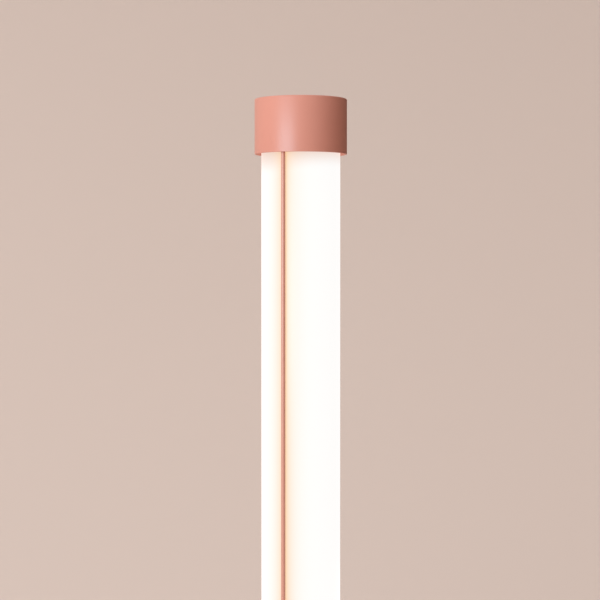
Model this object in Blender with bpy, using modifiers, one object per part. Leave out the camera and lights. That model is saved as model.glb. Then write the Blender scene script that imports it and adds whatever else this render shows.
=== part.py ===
"""Standing LED tube lamp, in metres, +Z up, with its origin on the floor under the tube's axis.

A two-foot LED lamp stands in an opal tube between two end fittings. A spun cup on a steel plate
carries the lower fitting, a spun cap closes the upper one, and a thin conduit up the front of the
tube (-Y) takes the feed wire to the sprung upper lampholder.
"""

import math

import bmesh
import bpy
from mathutils import Matrix, Vector

# Clearances
SEAT = 0.0003             # between faces that touch on the real lamp
RUNNING = 0.0003          # round pins, plungers, screws and wires in their holes
FITTING_PLAY = 0.0004     # round an end fitting in its cap or cup, and a holder in its fitting

# LED lamp: a two-foot tube with a two-pin cap at each end
LAMP_LENGTH = 0.5898      # face to face of the two end caps
LAMP_DIAMETER = 0.026
LAMP_WALL = 0.0010
LAMP_CAP_LENGTH = 0.020
LAMP_CAP_WALL = 0.0006
LAMP_CAP_END = 0.0015
PIN_SPACING = 0.0127
PIN_DIAMETER = 0.0024
PIN_LENGTH = 0.0070
PIN_TIP = 0.0005          # chamfer
PIN_HEAD_RIM = 0.0008
PIN_HEAD_THICKNESS = 0.0010
BOARD_OFFSET = 0.0040     # from the lamp's axis to the lit face of its board
BOARD_THICKNESS = 0.0010
BOARD_END_GAP = 0.0060    # from the bulb's end to the board's
LED_COUNT = 20
LED_SIZE = 0.0035
LED_HEIGHT = 0.0008

# Screws and pillars
SCREW_DIAMETER = 0.0030
SCREW_HEAD_DIAMETER = 0.0055
SCREW_HEAD_HEIGHT = 0.0020
SCREW_CROWN = 0.0007
SCREW_GRIP = 0.0080       # length in the pillar or the fitting
SCREW_ANGLES = (0.0, 120.0, 240.0)
PILLAR_WIDTH = 0.0060     # across the flats

# Lampholders: a fixed one below, a sprung one above
PLUNGER_WALL = 0.00265    # outside the pin holes
PLUNGER_HEAD = 0.0060     # solid height over the pins
PLUNGER_COLLAR = 0.0025
PLUNGER_DROP = 0.0025     # from the collar to the lip that keeps it in
HOUSING_LIP = 0.0020
HOUSING_LIP_WIDTH = 0.0015
HOUSING_WALL = 0.0022
HOUSING_ROOF = 0.0015
HOLDER_FLANGE_THICKNESS = 0.0020
HOLDER_NECK = 0.0020      # below the lower fitting
NEUTRAL_DEPTH = 0.0040    # wire hole under the fixed holder
SPRING_LENGTH = 0.0098
SPRING_WIRE = 0.0008
SPRING_TURNS = 3.5
SPRING_INSET = 0.0030     # from the housing's bore to the middle of the wire

# End fittings: one moulding, used both ways up
WIRE_SPACE = 0.0030       # round the holder in the fitting's bore
RING_MARGIN = 0.00055     # beside a screw head on the holder's flange
NOTCH_DEPTH = 0.0035      # wire notch in the bore
SPIGOT_LENGTH = 0.0120
SPIGOT_WALL = 0.0027
O_RING_SECTION = 0.0018
GROOVE_PLAY = 0.0002
GROOVE_WEB = 0.0015       # from the conduit's slot to the groove
GROOVE_LIP = 0.0014

# Opal tube, just wide enough for the holder's screws and the spigot
TUBE_WALL = 0.0025
LAMP_INSET = 0.0149       # from the rim of a cap or cup to the lamp's face inside it
TUBE_PAST_LAMP = 0.0040   # from the lamp's face to the tube's end beyond it
GASKET_THICKNESS = 0.0010

# Feed conduit
WIRE_DIAMETER = 0.0013
CONDUIT_PLAY = 0.0003     # round the wire
CONDUIT_WALL = 0.00065
CONDUIT_GAP = 0.00035     # to the opal tube
CONDUIT_BEND = 0.0060
CONDUIT_LEAD = 0.0010     # from the start of the bend to the fitting's face

# Cap and cup: spun steel, the same diameter
SHELL_GAP = 0.00035       # from the conduit to the shell
SHELL_WALL = 0.0012
SHELL_EDGE = 0.0010       # round at the closed end
CAP_ROOF = 0.0015
CUP_FLOOR = 0.0020
CHAMBER_HEIGHT = 0.0260   # from the cup's floor to the lower fitting

# Foot
FOOT_DIAMETER = 0.170
FOOT_THICKNESS = 0.010
FOOT_EDGE = 0.0020
FOOT_UNDER_EDGE = 0.0005
PAD_THICKNESS = 0.0020
PAD_INSET = 0.0040

# Push switch, at the front of the cup
BARREL_WALL = 0.0012
BARREL_LENGTH = 0.0130
BEZEL_RIM = 0.0020
BEZEL_THICKNESS = 0.0020
BEZEL_EDGE = 0.0006
BUTTON_DIAMETER = 0.0090
BUTTON_PROUD = 0.0028
BUTTON_LENGTH = 0.0085
BUTTON_TRAVEL = 0.0022
BUTTON_DISH = 0.0004
NUT_RIM = 0.0025
NUT_THICKNESS = 0.0030
BLADE_WIDTH = 0.0028
BLADE_THICKNESS = 0.0008
BLADE_LENGTH = 0.0050
BLADE_SPREAD = 0.0060

# Cord gland, at the back of the cup
GLAND_BORE = 0.0066
GLAND_WALL = 0.0017
GLAND_LENGTH = 0.0100
GLAND_RIM = 0.0022
GLAND_RIM_HEIGHT = 0.0020
GLAND_NOSE = 0.0060
GLAND_LIP = 0.0008

# Terminal block on the cup's floor
BLOCK_POLES = 3
BLOCK_PITCH = 0.0065
BLOCK_SIDE = 0.00075
BLOCK_DEPTH = 0.0130
BLOCK_HEIGHT = 0.0120
BLOCK_EDGE = 0.0006
BLOCK_MARGIN = 0.0033     # from the block's back to the pillar behind it
BLOCK_WAY_HEIGHT = 0.0040
WELL_DIAMETER = 0.0034
WELL_DEPTH = 0.0050
WELL_SPREAD = 0.0060
WIRE_GRIP = 0.0015        # length of a lead in the block

# Earth tag, welded to the cup's floor beside the block
TAG_GAP = 0.0040          # to the block's side
TAG_SET_BACK = 0.0030     # from the block's front
TAG_HEIGHT = 0.0070
TAG_FOOT = 0.0040

# Facets
SHELL_FACETS = 48
FITTING_FACETS = 32
ROUND_FACETS = 24
SMALL_FACETS = 12
BEND_STEPS = 6
SPRING_POINTS = 10        # to a turn

# Radii that follow from the sizes above, from the lamp's pins out to the shells
SCREW_HOLE = SCREW_DIAMETER / 2 + RUNNING
PILLAR_RADIUS = PILLAR_WIDTH / math.sqrt(3)
WIRE_HOLE = WIRE_DIAMETER / 2 + RUNNING
PIN_HOLE = PIN_DIAMETER / 2 + RUNNING
PLUNGER_RADIUS = PIN_SPACING / 2 + PIN_HOLE + PLUNGER_WALL
HOUSING_BORE = PLUNGER_RADIUS + RUNNING + HOUSING_LIP_WIDTH
HOLDER_RADIUS = HOUSING_BORE + HOUSING_WALL
FITTING_BORE = HOLDER_RADIUS + WIRE_SPACE
SCREW_CIRCLE = FITTING_BORE + RING_MARGIN + SCREW_HEAD_DIAMETER / 2
HOLDER_FLANGE = SCREW_CIRCLE + SCREW_HEAD_DIAMETER / 2 + RING_MARGIN
SPIGOT_BORE = HOLDER_FLANGE + FITTING_PLAY
SPIGOT_RADIUS = SPIGOT_BORE + SPIGOT_WALL
TUBE_BORE = SPIGOT_RADIUS + SEAT
TUBE_RADIUS = TUBE_BORE + TUBE_WALL
CONDUIT_BORE = WIRE_DIAMETER / 2 + CONDUIT_PLAY
CONDUIT_RADIUS = CONDUIT_BORE + CONDUIT_WALL
CONDUIT_DIAMETER = 2 * CONDUIT_RADIUS
CONDUIT_AXIS = TUBE_RADIUS + CONDUIT_GAP + CONDUIT_RADIUS
CONDUIT_END = FITTING_BORE + NOTCH_DEPTH
SHELL_BORE = CONDUIT_AXIS + CONDUIT_RADIUS + SHELL_GAP
SHELL_RADIUS = SHELL_BORE + SHELL_WALL
FITTING_RADIUS = SHELL_BORE - FITTING_PLAY
GROOVE_RADIUS = SHELL_BORE - 2 * SEAT - O_RING_SECTION
BARREL_RADIUS = BUTTON_DIAMETER / 2 + RUNNING + BARREL_WALL
GLAND_RADIUS = GLAND_BORE / 2 + GLAND_WALL

# Heights inside a fitting, from the face that the tube's gasket meets
CONDUIT_ENTRY = CONDUIT_BEND - CONDUIT_LEAD
SLOT_TOP = CONDUIT_ENTRY + CONDUIT_RADIUS + RUNNING
GROOVE_BOTTOM = SLOT_TOP + GROOVE_WEB
GROOVE_TOP = GROOVE_BOTTOM + O_RING_SECTION + 2 * GROOVE_PLAY
FLANGE_THICKNESS = GROOVE_TOP + GROOVE_LIP

# Heights over the floor, from the foot up
PLATE_BOTTOM = PAD_THICKNESS + SEAT
PLATE_TOP = PLATE_BOTTOM + FOOT_THICKNESS
CUP_BOTTOM = PLATE_TOP + SEAT
CUP_FLOOR_TOP = CUP_BOTTOM + CUP_FLOOR
CHAMBER_MIDDLE = CUP_FLOOR_TOP + CHAMBER_HEIGHT / 2
LOWER_FITTING_BOTTOM = CUP_FLOOR_TOP + CHAMBER_HEIGHT
HOLDER_BOTTOM = LOWER_FITTING_BOTTOM - HOLDER_NECK
LOWER_FACE = LOWER_FITTING_BOTTOM + FLANGE_THICKNESS
LOWER_ENTRY = LOWER_FACE - CONDUIT_ENTRY
TUBE_BOTTOM = LOWER_FACE + GASKET_THICKNESS + 2 * SEAT
LAMP_BOTTOM = TUBE_BOTTOM + TUBE_PAST_LAMP
LOWER_RIM = LAMP_BOTTOM + LAMP_INSET
LAMP_TOP = LAMP_BOTTOM + LAMP_LENGTH
UPPER_RIM = LAMP_TOP - LAMP_INSET
TUBE_TOP = LAMP_TOP + TUBE_PAST_LAMP
UPPER_FACE = TUBE_TOP + GASKET_THICKNESS + 2 * SEAT
UPPER_ENTRY = UPPER_FACE + CONDUIT_ENTRY
UPPER_FITTING_TOP = UPPER_FACE + FLANGE_THICKNESS
PLUNGER_BOTTOM = LAMP_TOP + SEAT
PLUNGER_HEIGHT = PIN_LENGTH + PLUNGER_HEAD
PLUNGER_TOP = PLUNGER_BOTTOM + PLUNGER_HEIGHT
LIP_TOP = PLUNGER_TOP - PLUNGER_COLLAR - PLUNGER_DROP
HOUSING_BOTTOM = LIP_TOP - HOUSING_LIP
HOUSING_CEILING = PLUNGER_TOP + SPRING_LENGTH + 2 * SEAT
HOUSING_TOP = HOUSING_CEILING + HOUSING_ROOF
CAP_CEILING = HOUSING_TOP + SEAT
CAP_TOP = CAP_CEILING + CAP_ROOF

# Places in plan, and in the chamber
PIN_SPOTS = [(-PIN_SPACING / 2, 0), (PIN_SPACING / 2, 0)]
UPPER_SPOTS = [(SCREW_CIRCLE * math.cos(math.radians(a)), SCREW_CIRCLE * math.sin(math.radians(a)))
               for a in SCREW_ANGLES]
LOWER_SPOTS = [(-x, y) for x, y in UPPER_SPOTS]
NEUTRAL_SPOT = (-HOUSING_BORE / 2, 0)
BLADE_TIP = BARREL_LENGTH + BLADE_LENGTH - SHELL_RADIUS
BLOCK_BACK = max(y for x, y in LOWER_SPOTS) - PILLAR_RADIUS - BLOCK_MARGIN
BLOCK_FRONT = BLOCK_BACK - BLOCK_DEPTH
BLOCK_MIDDLE = BLOCK_BACK - BLOCK_DEPTH / 2
BLOCK_BOTTOM = CUP_FLOOR_TOP + SEAT
BLOCK_TOP = BLOCK_BOTTOM + BLOCK_HEIGHT
BLOCK_WAY = BLOCK_BOTTOM + BLOCK_WAY_HEIGHT
BLOCK_HALF = BLOCK_POLES * BLOCK_PITCH / 2 + BLOCK_SIDE
TAG_SPOT = (BLOCK_HALF + TAG_GAP, BLOCK_FRONT - TAG_SET_BACK)
TAG_TOP = CUP_FLOOR_TOP + SEAT + TAG_HEIGHT
POLES = [BLOCK_PITCH * (i - (BLOCK_POLES - 1) / 2) for i in range(BLOCK_POLES)]

for old in list(bpy.data.objects):
    bpy.data.objects.remove(old, do_unlink=True)


def collection(name):
    """A new collection in the scene."""
    made = bpy.data.collections.new(name)
    bpy.context.scene.collection.children.link(made)
    return made


PARTS = collection("led_tube_lamp")
CUTTERS = collection("cutters")


def material(name, colour, roughness, metallic=0.0):
    """A plain Principled material."""
    made = bpy.data.materials.new(name)
    made.use_nodes = True
    shader = made.node_tree.nodes["Principled BSDF"]
    shader.inputs["Base Color"].default_value = (*colour, 1.0)
    shader.inputs["Roughness"].default_value = roughness
    shader.inputs["Metallic"].default_value = metallic
    return made


PINK_COAT = material("pink_coat", (0.72, 0.32, 0.25), 0.45)
OPAL = material("opal_acrylic", (0.95, 0.94, 0.91), 0.25)
WHITE_PLASTIC = material("white_plastic", (0.86, 0.85, 0.82), 0.40)
BLACK_RUBBER = material("black_rubber", (0.03, 0.03, 0.03), 0.80)
SILICONE = material("silicone", (0.75, 0.74, 0.72), 0.60)
ZINC = material("zinc_steel", (0.62, 0.62, 0.60), 0.35, 1.0)
BRASS = material("brass", (0.78, 0.60, 0.28), 0.30, 1.0)
SPRING_STEEL = material("spring_steel", (0.50, 0.50, 0.50), 0.30, 1.0)
ALUMINIUM = material("lamp_aluminium", (0.80, 0.80, 0.80), 0.35, 1.0)
GLASS = material("frosted_glass", (0.92, 0.93, 0.92), 0.35)
BOARD_WHITE = material("board_white", (0.88, 0.88, 0.84), 0.50)
BLACK_NYLON = material("black_nylon", (0.05, 0.05, 0.05), 0.50)
BROWN_WIRE = material("brown_insulation", (0.22, 0.09, 0.04), 0.45)
BLUE_WIRE = material("blue_insulation", (0.05, 0.14, 0.45), 0.45)
EARTH_WIRE = material("earth_insulation", (0.24, 0.42, 0.06), 0.45)


def empty(name, location=(0, 0, 0), tilt=0.0):
    """A guide that carries the pieces on one axis."""
    made = bpy.data.objects.new(name, None)
    made.location = location
    made.rotation_euler = (tilt, 0, 0)
    PARTS.objects.link(made)
    return made


# The switch's axis points out at the front, the gland's at the back
LAMP = empty("lamp_frame")
SWITCH_AXIS = empty("switch_axis", (0, -SHELL_RADIUS, CHAMBER_MIDDLE), math.pi / 2)
GLAND_AXIS = empty("gland_axis", (0, SHELL_RADIUS, CHAMBER_MIDDLE), -math.pi / 2)
SWITCH_AXIS.parent = LAMP
GLAND_AXIS.parent = LAMP


def piece(name, data, finish, location=(0, 0, 0), rotation=(0, 0, 0), parent=LAMP):
    """A named sub-part in its own material."""
    made = bpy.data.objects.new(name, data)
    made.location = location
    made.rotation_euler = rotation
    made.parent = parent
    data.materials.clear()
    data.materials.append(finish)
    PARTS.objects.link(made)
    return made


def turned(name, profile, finish, facets, ring=False, **place):
    """A profile of (radius, height) points revolved about Z. It runs down the outer side."""
    mesh = bpy.data.meshes.new(name)
    edges = [(i, i + 1) for i in range(len(profile) - 1)]
    if ring:
        edges.append((len(profile) - 1, 0))
    mesh.from_pydata([(r, 0, z) for r, z in profile], edges, [])
    made = piece(name, mesh, finish, **place)
    turn = made.modifiers.new("Turn", "SCREW")
    turn.steps = facets
    turn.render_steps = facets
    turn.use_merge_vertices = True
    turn.merge_threshold = 1e-6
    turn.use_smooth_shade = True
    return made


def arc(centre, radius, start, end, steps=3):
    """Points on an arc in the profile's plane, between two angles in degrees."""
    angles = [math.radians(start + (end - start) * i / steps) for i in range(steps + 1)]
    return [(centre[0] + radius * math.cos(a), centre[1] + radius * math.sin(a)) for a in angles]


def pipe(outer, inner, top, bottom):
    """Profile of a plain tube or ring."""
    return [(outer, top), (outer, bottom), (inner, bottom), (inner, top)]


def mesh_of(name, shape):
    """A bmesh made a mesh."""
    mesh = bpy.data.meshes.new(name)
    shape.to_mesh(mesh)
    shape.free()
    return mesh


def cylinders(name, radius, low, high, spots=((0, 0),), facets=SMALL_FACETS):
    """A mesh with one upright cylinder at each (x, y) spot."""
    shape = bmesh.new()
    for x, y in spots:
        middle = Matrix.Translation((x, y, (low + high) / 2))
        bmesh.ops.create_cone(shape, cap_ends=True, segments=facets, radius1=radius, radius2=radius,
                              depth=high - low, matrix=middle)
    return mesh_of(name, shape)


def boxes(name, corners):
    """A mesh with one box between each pair of corners."""
    shape = bmesh.new()
    for low, high in corners:
        low = Vector(low)
        high = Vector(high)
        size = Matrix.Diagonal((*(high - low), 1))
        bmesh.ops.create_cube(shape, size=1, matrix=Matrix.Translation((low + high) / 2) @ size)
    return mesh_of(name, shape)


def cut(target, mesh, operation="DIFFERENCE", parent=None, location=(0, 0, 0), rotation=(0, 0, 0)):
    """Cut a mesh from a piece, or join it on, in the frame of the piece or of another parent."""
    cutter = bpy.data.objects.new(mesh.name, mesh)
    cutter.location = location
    cutter.rotation_euler = rotation
    cutter.parent = parent or target
    cutter.hide_render = True
    cutter.display_type = "WIRE"
    CUTTERS.objects.link(cutter)
    step = target.modifiers.new(mesh.name, "BOOLEAN")
    step.operation = operation
    step.object = cutter


def smooth_route(points, steps=3):
    """Points on a smooth curve through a wire's own points."""
    points = [Vector(p) for p in points]
    ends = [2 * points[0] - points[1], *points, 2 * points[-1] - points[-2]]
    route = []
    for before, here, there, after in zip(ends, ends[1:], ends[2:], ends[3:]):
        for i in range(steps):
            t = i / steps
            route.append(0.5 * (2 * here + (there - before) * t
                                + (2 * before - 5 * here + 4 * there - after) * t ** 2
                                + (3 * here - before - 3 * there + after) * t ** 3))
    return [*route, points[-1]]


def wire(name, route, radius, finish, resolution=1):
    """A round wire along a list of points."""
    curve = bpy.data.curves.new(name, "CURVE")
    curve.dimensions = "3D"
    curve.bevel_depth = radius
    curve.bevel_resolution = resolution
    curve.use_fill_caps = True
    spline = curve.splines.new("POLY")
    spline.points.add(len(route) - 1)
    for point, place in zip(spline.points, route):
        point.co = (*place, 1)
    return piece(name, curve, finish)


def closed_mesh(curved):
    """The closed mesh of a curve, which is removed."""
    evaluated = curved.evaluated_get(bpy.context.evaluated_depsgraph_get())
    mesh = bpy.data.meshes.new_from_object(evaluated)
    mesh.name = curved.name
    bpy.data.objects.remove(curved)
    shape = bmesh.new()
    shape.from_mesh(mesh)
    bmesh.ops.remove_doubles(shape, verts=shape.verts, dist=1e-6)
    shape.to_mesh(mesh)
    shape.free()
    return mesh


def screw(name, spot, seat, length, head_down=False):
    """A pan-head machine screw, its head's underside at the seat."""
    head = SCREW_HEAD_DIAMETER / 2
    stem = SCREW_DIAMETER / 2
    profile = [(0, SCREW_HEAD_HEIGHT), (head - SCREW_CROWN, SCREW_HEAD_HEIGHT),
               (head, SCREW_HEAD_HEIGHT - SCREW_CROWN), (head, 0), (stem, 0), (stem, -length), (0, -length)]
    turned(name, profile, ZINC, SMALL_FACETS, location=(*spot, seat),
           rotation=(math.pi if head_down else 0, 0, 0))


def foot():
    """Weighted steel plate on a rubber pad, with three screws up into the pillars."""
    rim = FOOT_DIAMETER / 2
    pad = rim - PAD_INSET
    pad_profile = [(0, PAD_THICKNESS), (pad, PAD_THICKNESS), (pad, 0), (0, 0)]
    turned("foot_pad", pad_profile, BLACK_RUBBER, SHELL_FACETS)
    profile = [(0, FOOT_THICKNESS), *arc((rim - FOOT_EDGE, FOOT_THICKNESS - FOOT_EDGE), FOOT_EDGE, 90, 0),
               (rim, FOOT_UNDER_EDGE), (rim - FOOT_UNDER_EDGE, 0), (0, 0)]
    plate = turned("foot_plate", profile, PINK_COAT, SHELL_FACETS, location=(0, 0, PLATE_BOTTOM))
    recess = SCREW_HEAD_HEIGHT + 2 * SEAT
    cut(plate, cylinders("head_recesses", SCREW_HEAD_DIAMETER / 2 + RUNNING, -SEAT, recess, LOWER_SPOTS))
    cut(plate, cylinders("plate_holes", SCREW_HOLE, 0, FOOT_THICKNESS + SEAT, LOWER_SPOTS))
    seat = PLATE_BOTTOM + recess - SEAT
    for i, spot in enumerate(LOWER_SPOTS):
        screw(f"foot_screw_{i + 1}", spot, seat, CUP_FLOOR_TOP - seat + SCREW_GRIP, head_down=True)


def lower_cup():
    """Spun steel cup with holes for the screws, the switch and the gland."""
    height = LOWER_RIM - CUP_BOTTOM
    profile = [(0, CUP_FLOOR), (SHELL_BORE, CUP_FLOOR), (SHELL_BORE, height), (SHELL_RADIUS, height),
               *arc((SHELL_RADIUS - SHELL_EDGE, SHELL_EDGE), SHELL_EDGE, 0, -90), (0, 0)]
    cup = turned("lower_cup", profile, PINK_COAT, SHELL_FACETS, location=(0, 0, CUP_BOTTOM))
    cut(cup, cylinders("floor_holes", SCREW_HOLE, -SEAT, CUP_FLOOR + SEAT, LOWER_SPOTS))
    for name, radius, axis in (("switch", BARREL_RADIUS, SWITCH_AXIS), ("gland", GLAND_RADIUS, GLAND_AXIS)):
        hole = cylinders(f"{name}_hole", radius + RUNNING, -SHELL_BORE / 2, SEAT, facets=ROUND_FACETS)
        cut(cup, hole, parent=axis)


def pillars():
    """Hexagon pillars that carry the lower fitting over the cup's floor."""
    height = CHAMBER_HEIGHT - 2 * SEAT
    for i, spot in enumerate(LOWER_SPOTS):
        shape = cylinders(f"pillar_{i + 1}", PILLAR_RADIUS, 0, height, facets=6)
        pillar = piece(shape.name, shape, ZINC, location=(*spot, CUP_FLOOR_TOP + SEAT))
        cut(pillar, cylinders(f"pillar_bore_{i + 1}", SCREW_HOLE, -SEAT, height + SEAT))


def end_fitting(end, face, upside):
    """Moulded ring with a spigot in the tube, a slot for the conduit and a groove for an O-ring."""
    place = {"location": (0, 0, face), "rotation": (0, 0 if upside else math.pi, 0)}
    profile = [(FITTING_RADIUS, FLANGE_THICKNESS), (FITTING_RADIUS, GROOVE_TOP), (GROOVE_RADIUS, GROOVE_TOP),
               (GROOVE_RADIUS, GROOVE_BOTTOM), (FITTING_RADIUS, GROOVE_BOTTOM), (FITTING_RADIUS, 0),
               (SPIGOT_RADIUS, 0), (SPIGOT_RADIUS, -SPIGOT_LENGTH), (SPIGOT_BORE, -SPIGOT_LENGTH),
               (SPIGOT_BORE, 0), (FITTING_BORE, 0), (FITTING_BORE, FLANGE_THICKNESS)]
    ring = turned(f"{end}_fitting", profile, WHITE_PLASTIC, FITTING_FACETS, ring=True, **place)
    half = CONDUIT_RADIUS + RUNNING
    slot_bottom = CONDUIT_ENTRY - CONDUIT_DIAMETER
    mouth = (-half, -SHELL_RADIUS, -SEAT), (half, -SPIGOT_RADIUS - SEAT, SLOT_TOP)
    slot = (-half, -FITTING_RADIUS + SEAT, slot_bottom), (half, 0, SLOT_TOP)
    notch = (-half, -CONDUIT_END, -SEAT), (half, 0, FLANGE_THICKNESS + SEAT)
    for name, corners in (("conduit_mouth", mouth), ("conduit_slot", slot), ("wire_notch", notch)):
        cut(ring, boxes(f"{end}_{name}", [corners]))
    cut(ring, cylinders(f"{end}_screw_holes", SCREW_HOLE, -SEAT, FLANGE_THICKNESS + SEAT, UPPER_SPOTS))
    section = O_RING_SECTION / 2
    middle = (GROOVE_RADIUS + SEAT + section, (GROOVE_BOTTOM + GROOVE_TOP) / 2)
    circle = arc(middle, section, 180, -180, 6)[:-1]
    turned(f"{end}_o_ring", circle, BLACK_RUBBER, FITTING_FACETS, ring=True, **place)
    gasket = pipe(TUBE_RADIUS, TUBE_BORE, -SEAT, -SEAT - GASKET_THICKNESS)
    turned(f"{end}_gasket", gasket, SILICONE, FITTING_FACETS, ring=True, **place)


def opal_tube():
    """Extruded opal acrylic tube, open at both ends."""
    profile = pipe(TUBE_RADIUS, TUBE_BORE, TUBE_TOP, TUBE_BOTTOM)
    turned("diffuser_tube", profile, OPAL, SHELL_FACETS, ring=True)


def led_lamp():
    """Frosted bulb in two pinned end caps, with the lit board standing in it."""
    outer = LAMP_DIAMETER / 2
    inner = outer - LAMP_WALL
    low = LAMP_BOTTOM + LAMP_CAP_END + SEAT
    high = LAMP_TOP - LAMP_CAP_END - SEAT
    turned("lamp_bulb", pipe(outer, inner, high, low), GLASS, ROUND_FACETS, ring=True)
    led_board(inner * math.cos(math.pi / ROUND_FACETS), low + BOARD_END_GAP, high - BOARD_END_GAP)
    cap_bore = outer + SEAT
    cap = cap_bore + LAMP_CAP_WALL
    cap_profile = [(0, 0), (cap, 0), (cap, -LAMP_CAP_LENGTH), (cap_bore, -LAMP_CAP_LENGTH),
                   (cap_bore, -LAMP_CAP_END), (0, -LAMP_CAP_END)]
    stem = PIN_DIAMETER / 2
    head = PIN_HOLE + PIN_HEAD_RIM
    under = -LAMP_CAP_END - SEAT
    pin_profile = [(0, PIN_LENGTH), (stem - PIN_TIP, PIN_LENGTH), (stem, PIN_LENGTH - PIN_TIP), (stem, under),
                   (head, under), (head, under - PIN_HEAD_THICKNESS), (0, under - PIN_HEAD_THICKNESS)]
    for end, face, turn in (("lower", LAMP_BOTTOM, math.pi), ("upper", LAMP_TOP, 0)):
        lid = turned(f"lamp_{end}_cap", cap_profile, ALUMINIUM, ROUND_FACETS, location=(0, 0, face),
                     rotation=(turn, 0, 0))
        cut(lid, cylinders(f"{end}_pin_holes", PIN_HOLE, -LAMP_CAP_LENGTH, SEAT, PIN_SPOTS))
        for i, spot in enumerate(PIN_SPOTS):
            turned(f"lamp_{end}_pin_{i + 1}", pin_profile, BRASS, SMALL_FACETS, location=(*spot, face),
                   rotation=(turn, 0, 0))


def led_board(reach, low, high):
    """White board across the bulb, its back edges at the bulb's wall, with LEDs down its front."""
    back = BOARD_OFFSET + BOARD_THICKNESS
    half = math.sqrt(reach ** 2 - back ** 2) - SEAT
    plate = boxes("led_board", [((-half, BOARD_OFFSET, low), (half, back, high))])
    board = piece("led_board", plate, BOARD_WHITE)
    pitch = (high - low) / LED_COUNT
    side = LED_SIZE / 2
    middles = [low + pitch * (i + 0.5) for i in range(LED_COUNT)]
    leds = [((-side, BOARD_OFFSET - LED_HEIGHT, z - side), (side, back - SEAT, z + side)) for z in middles]
    cut(board, boxes("leds", leds), "UNION")


def lower_lampholder():
    """Fixed holder: the pillar screws clamp its flange on the lower fitting."""
    top = LAMP_BOTTOM - SEAT
    flange_bottom = LOWER_FACE + SEAT
    flange_top = flange_bottom + HOLDER_FLANGE_THICKNESS
    profile = [(0, top), (HOLDER_RADIUS, top), (HOLDER_RADIUS, flange_top), (HOLDER_FLANGE, flange_top),
               (HOLDER_FLANGE, flange_bottom), (HOLDER_RADIUS, flange_bottom), (HOLDER_RADIUS, HOLDER_BOTTOM),
               (0, HOLDER_BOTTOM)]
    holder = turned("lower_lampholder", profile, WHITE_PLASTIC, ROUND_FACETS)
    cut(holder, cylinders("lower_contact_holes", PIN_HOLE, top - PIN_LENGTH, top + SEAT, PIN_SPOTS))
    seat = flange_top + SEAT
    cut(holder, cylinders("lower_flange_holes", SCREW_HOLE, flange_bottom - SEAT, seat, LOWER_SPOTS))
    neutral_top = HOLDER_BOTTOM + NEUTRAL_DEPTH
    cut(holder, cylinders("neutral_hole", WIRE_HOLE, HOLDER_BOTTOM - SEAT, neutral_top, [NEUTRAL_SPOT]))
    for i, spot in enumerate(LOWER_SPOTS):
        screw(f"lower_holder_screw_{i + 1}", spot, seat, seat - LOWER_FITTING_BOTTOM + SCREW_GRIP)


def upper_lampholder():
    """Sprung holder: a plunger that follows the lamp's pins, in a housing on the upper fitting."""
    flange_bottom = UPPER_FITTING_TOP + SEAT
    flange_top = flange_bottom + HOLDER_FLANGE_THICKNESS
    lip = HOUSING_BORE - HOUSING_LIP_WIDTH
    profile = [(0, HOUSING_TOP), (HOLDER_RADIUS, HOUSING_TOP), (HOLDER_RADIUS, flange_top),
               (HOLDER_FLANGE, flange_top), (HOLDER_FLANGE, flange_bottom), (HOLDER_RADIUS, flange_bottom),
               (HOLDER_RADIUS, HOUSING_BOTTOM), (lip, HOUSING_BOTTOM), (lip, LIP_TOP),
               (HOUSING_BORE, LIP_TOP), (HOUSING_BORE, HOUSING_CEILING), (0, HOUSING_CEILING)]
    housing = turned("upper_lampholder_housing", profile, WHITE_PLASTIC, ROUND_FACETS)
    seat = flange_top + SEAT
    cut(housing, cylinders("upper_flange_holes", SCREW_HOLE, flange_bottom - SEAT, seat, UPPER_SPOTS))
    feed_hole = cylinders("feed_hole", WIRE_HOLE, 0, HOLDER_RADIUS + SEAT)
    cut(housing, feed_hole, location=(0, 0, UPPER_ENTRY), rotation=(math.pi / 2, 0, 0))
    for i, spot in enumerate(UPPER_SPOTS):
        screw(f"upper_holder_screw_{i + 1}", spot, seat, seat - UPPER_FITTING_TOP + SCREW_GRIP)
    collar = HOUSING_BORE - RUNNING
    collar_bottom = PLUNGER_HEIGHT - PLUNGER_COLLAR
    profile = [(0, PLUNGER_HEIGHT), (collar, PLUNGER_HEIGHT), (collar, collar_bottom),
               (PLUNGER_RADIUS, collar_bottom), (PLUNGER_RADIUS, 0), (0, 0)]
    plunger = turned("upper_lampholder_plunger", profile, WHITE_PLASTIC, ROUND_FACETS,
                     location=(0, 0, PLUNGER_BOTTOM))
    cut(plunger, cylinders("upper_contact_holes", PIN_HOLE, -SEAT, PIN_LENGTH, PIN_SPOTS))


def lampholder_spring():
    """Coil spring between the plunger and the housing's roof."""
    low = PLUNGER_TOP + SEAT + SPRING_WIRE / 2
    rise = SPRING_LENGTH - SPRING_WIRE
    radius = HOUSING_BORE - SPRING_INSET
    count = round(SPRING_TURNS * SPRING_POINTS)
    route = []
    for i in range(count + 1):
        angle = 2 * math.pi * i / SPRING_POINTS
        route.append(Vector((radius * math.cos(angle), radius * math.sin(angle), low + rise * i / count)))
    apart = [(a - b).length for i, a in enumerate(route) for b in route[i + SPRING_POINTS // 2:]]
    print(f"lampholder_spring: least gap to itself {(min(apart) - SPRING_WIRE) * 1000:.2f} mm")
    wire("lampholder_spring", route, SPRING_WIRE / 2, SPRING_STEEL, resolution=1)


def top_cap():
    """Spun steel cap that lifts off. Its origin is on its axis, in the plane of its rim."""
    height = CAP_TOP - UPPER_RIM
    ceiling = CAP_CEILING - UPPER_RIM
    profile = [(0, height), *arc((SHELL_RADIUS - SHELL_EDGE, height - SHELL_EDGE), SHELL_EDGE, 90, 0),
               (SHELL_RADIUS, 0), (SHELL_BORE, 0), (SHELL_BORE, ceiling), (0, ceiling)]
    turned("top_cap", profile, PINK_COAT, SHELL_FACETS, location=(0, 0, UPPER_RIM))


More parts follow.
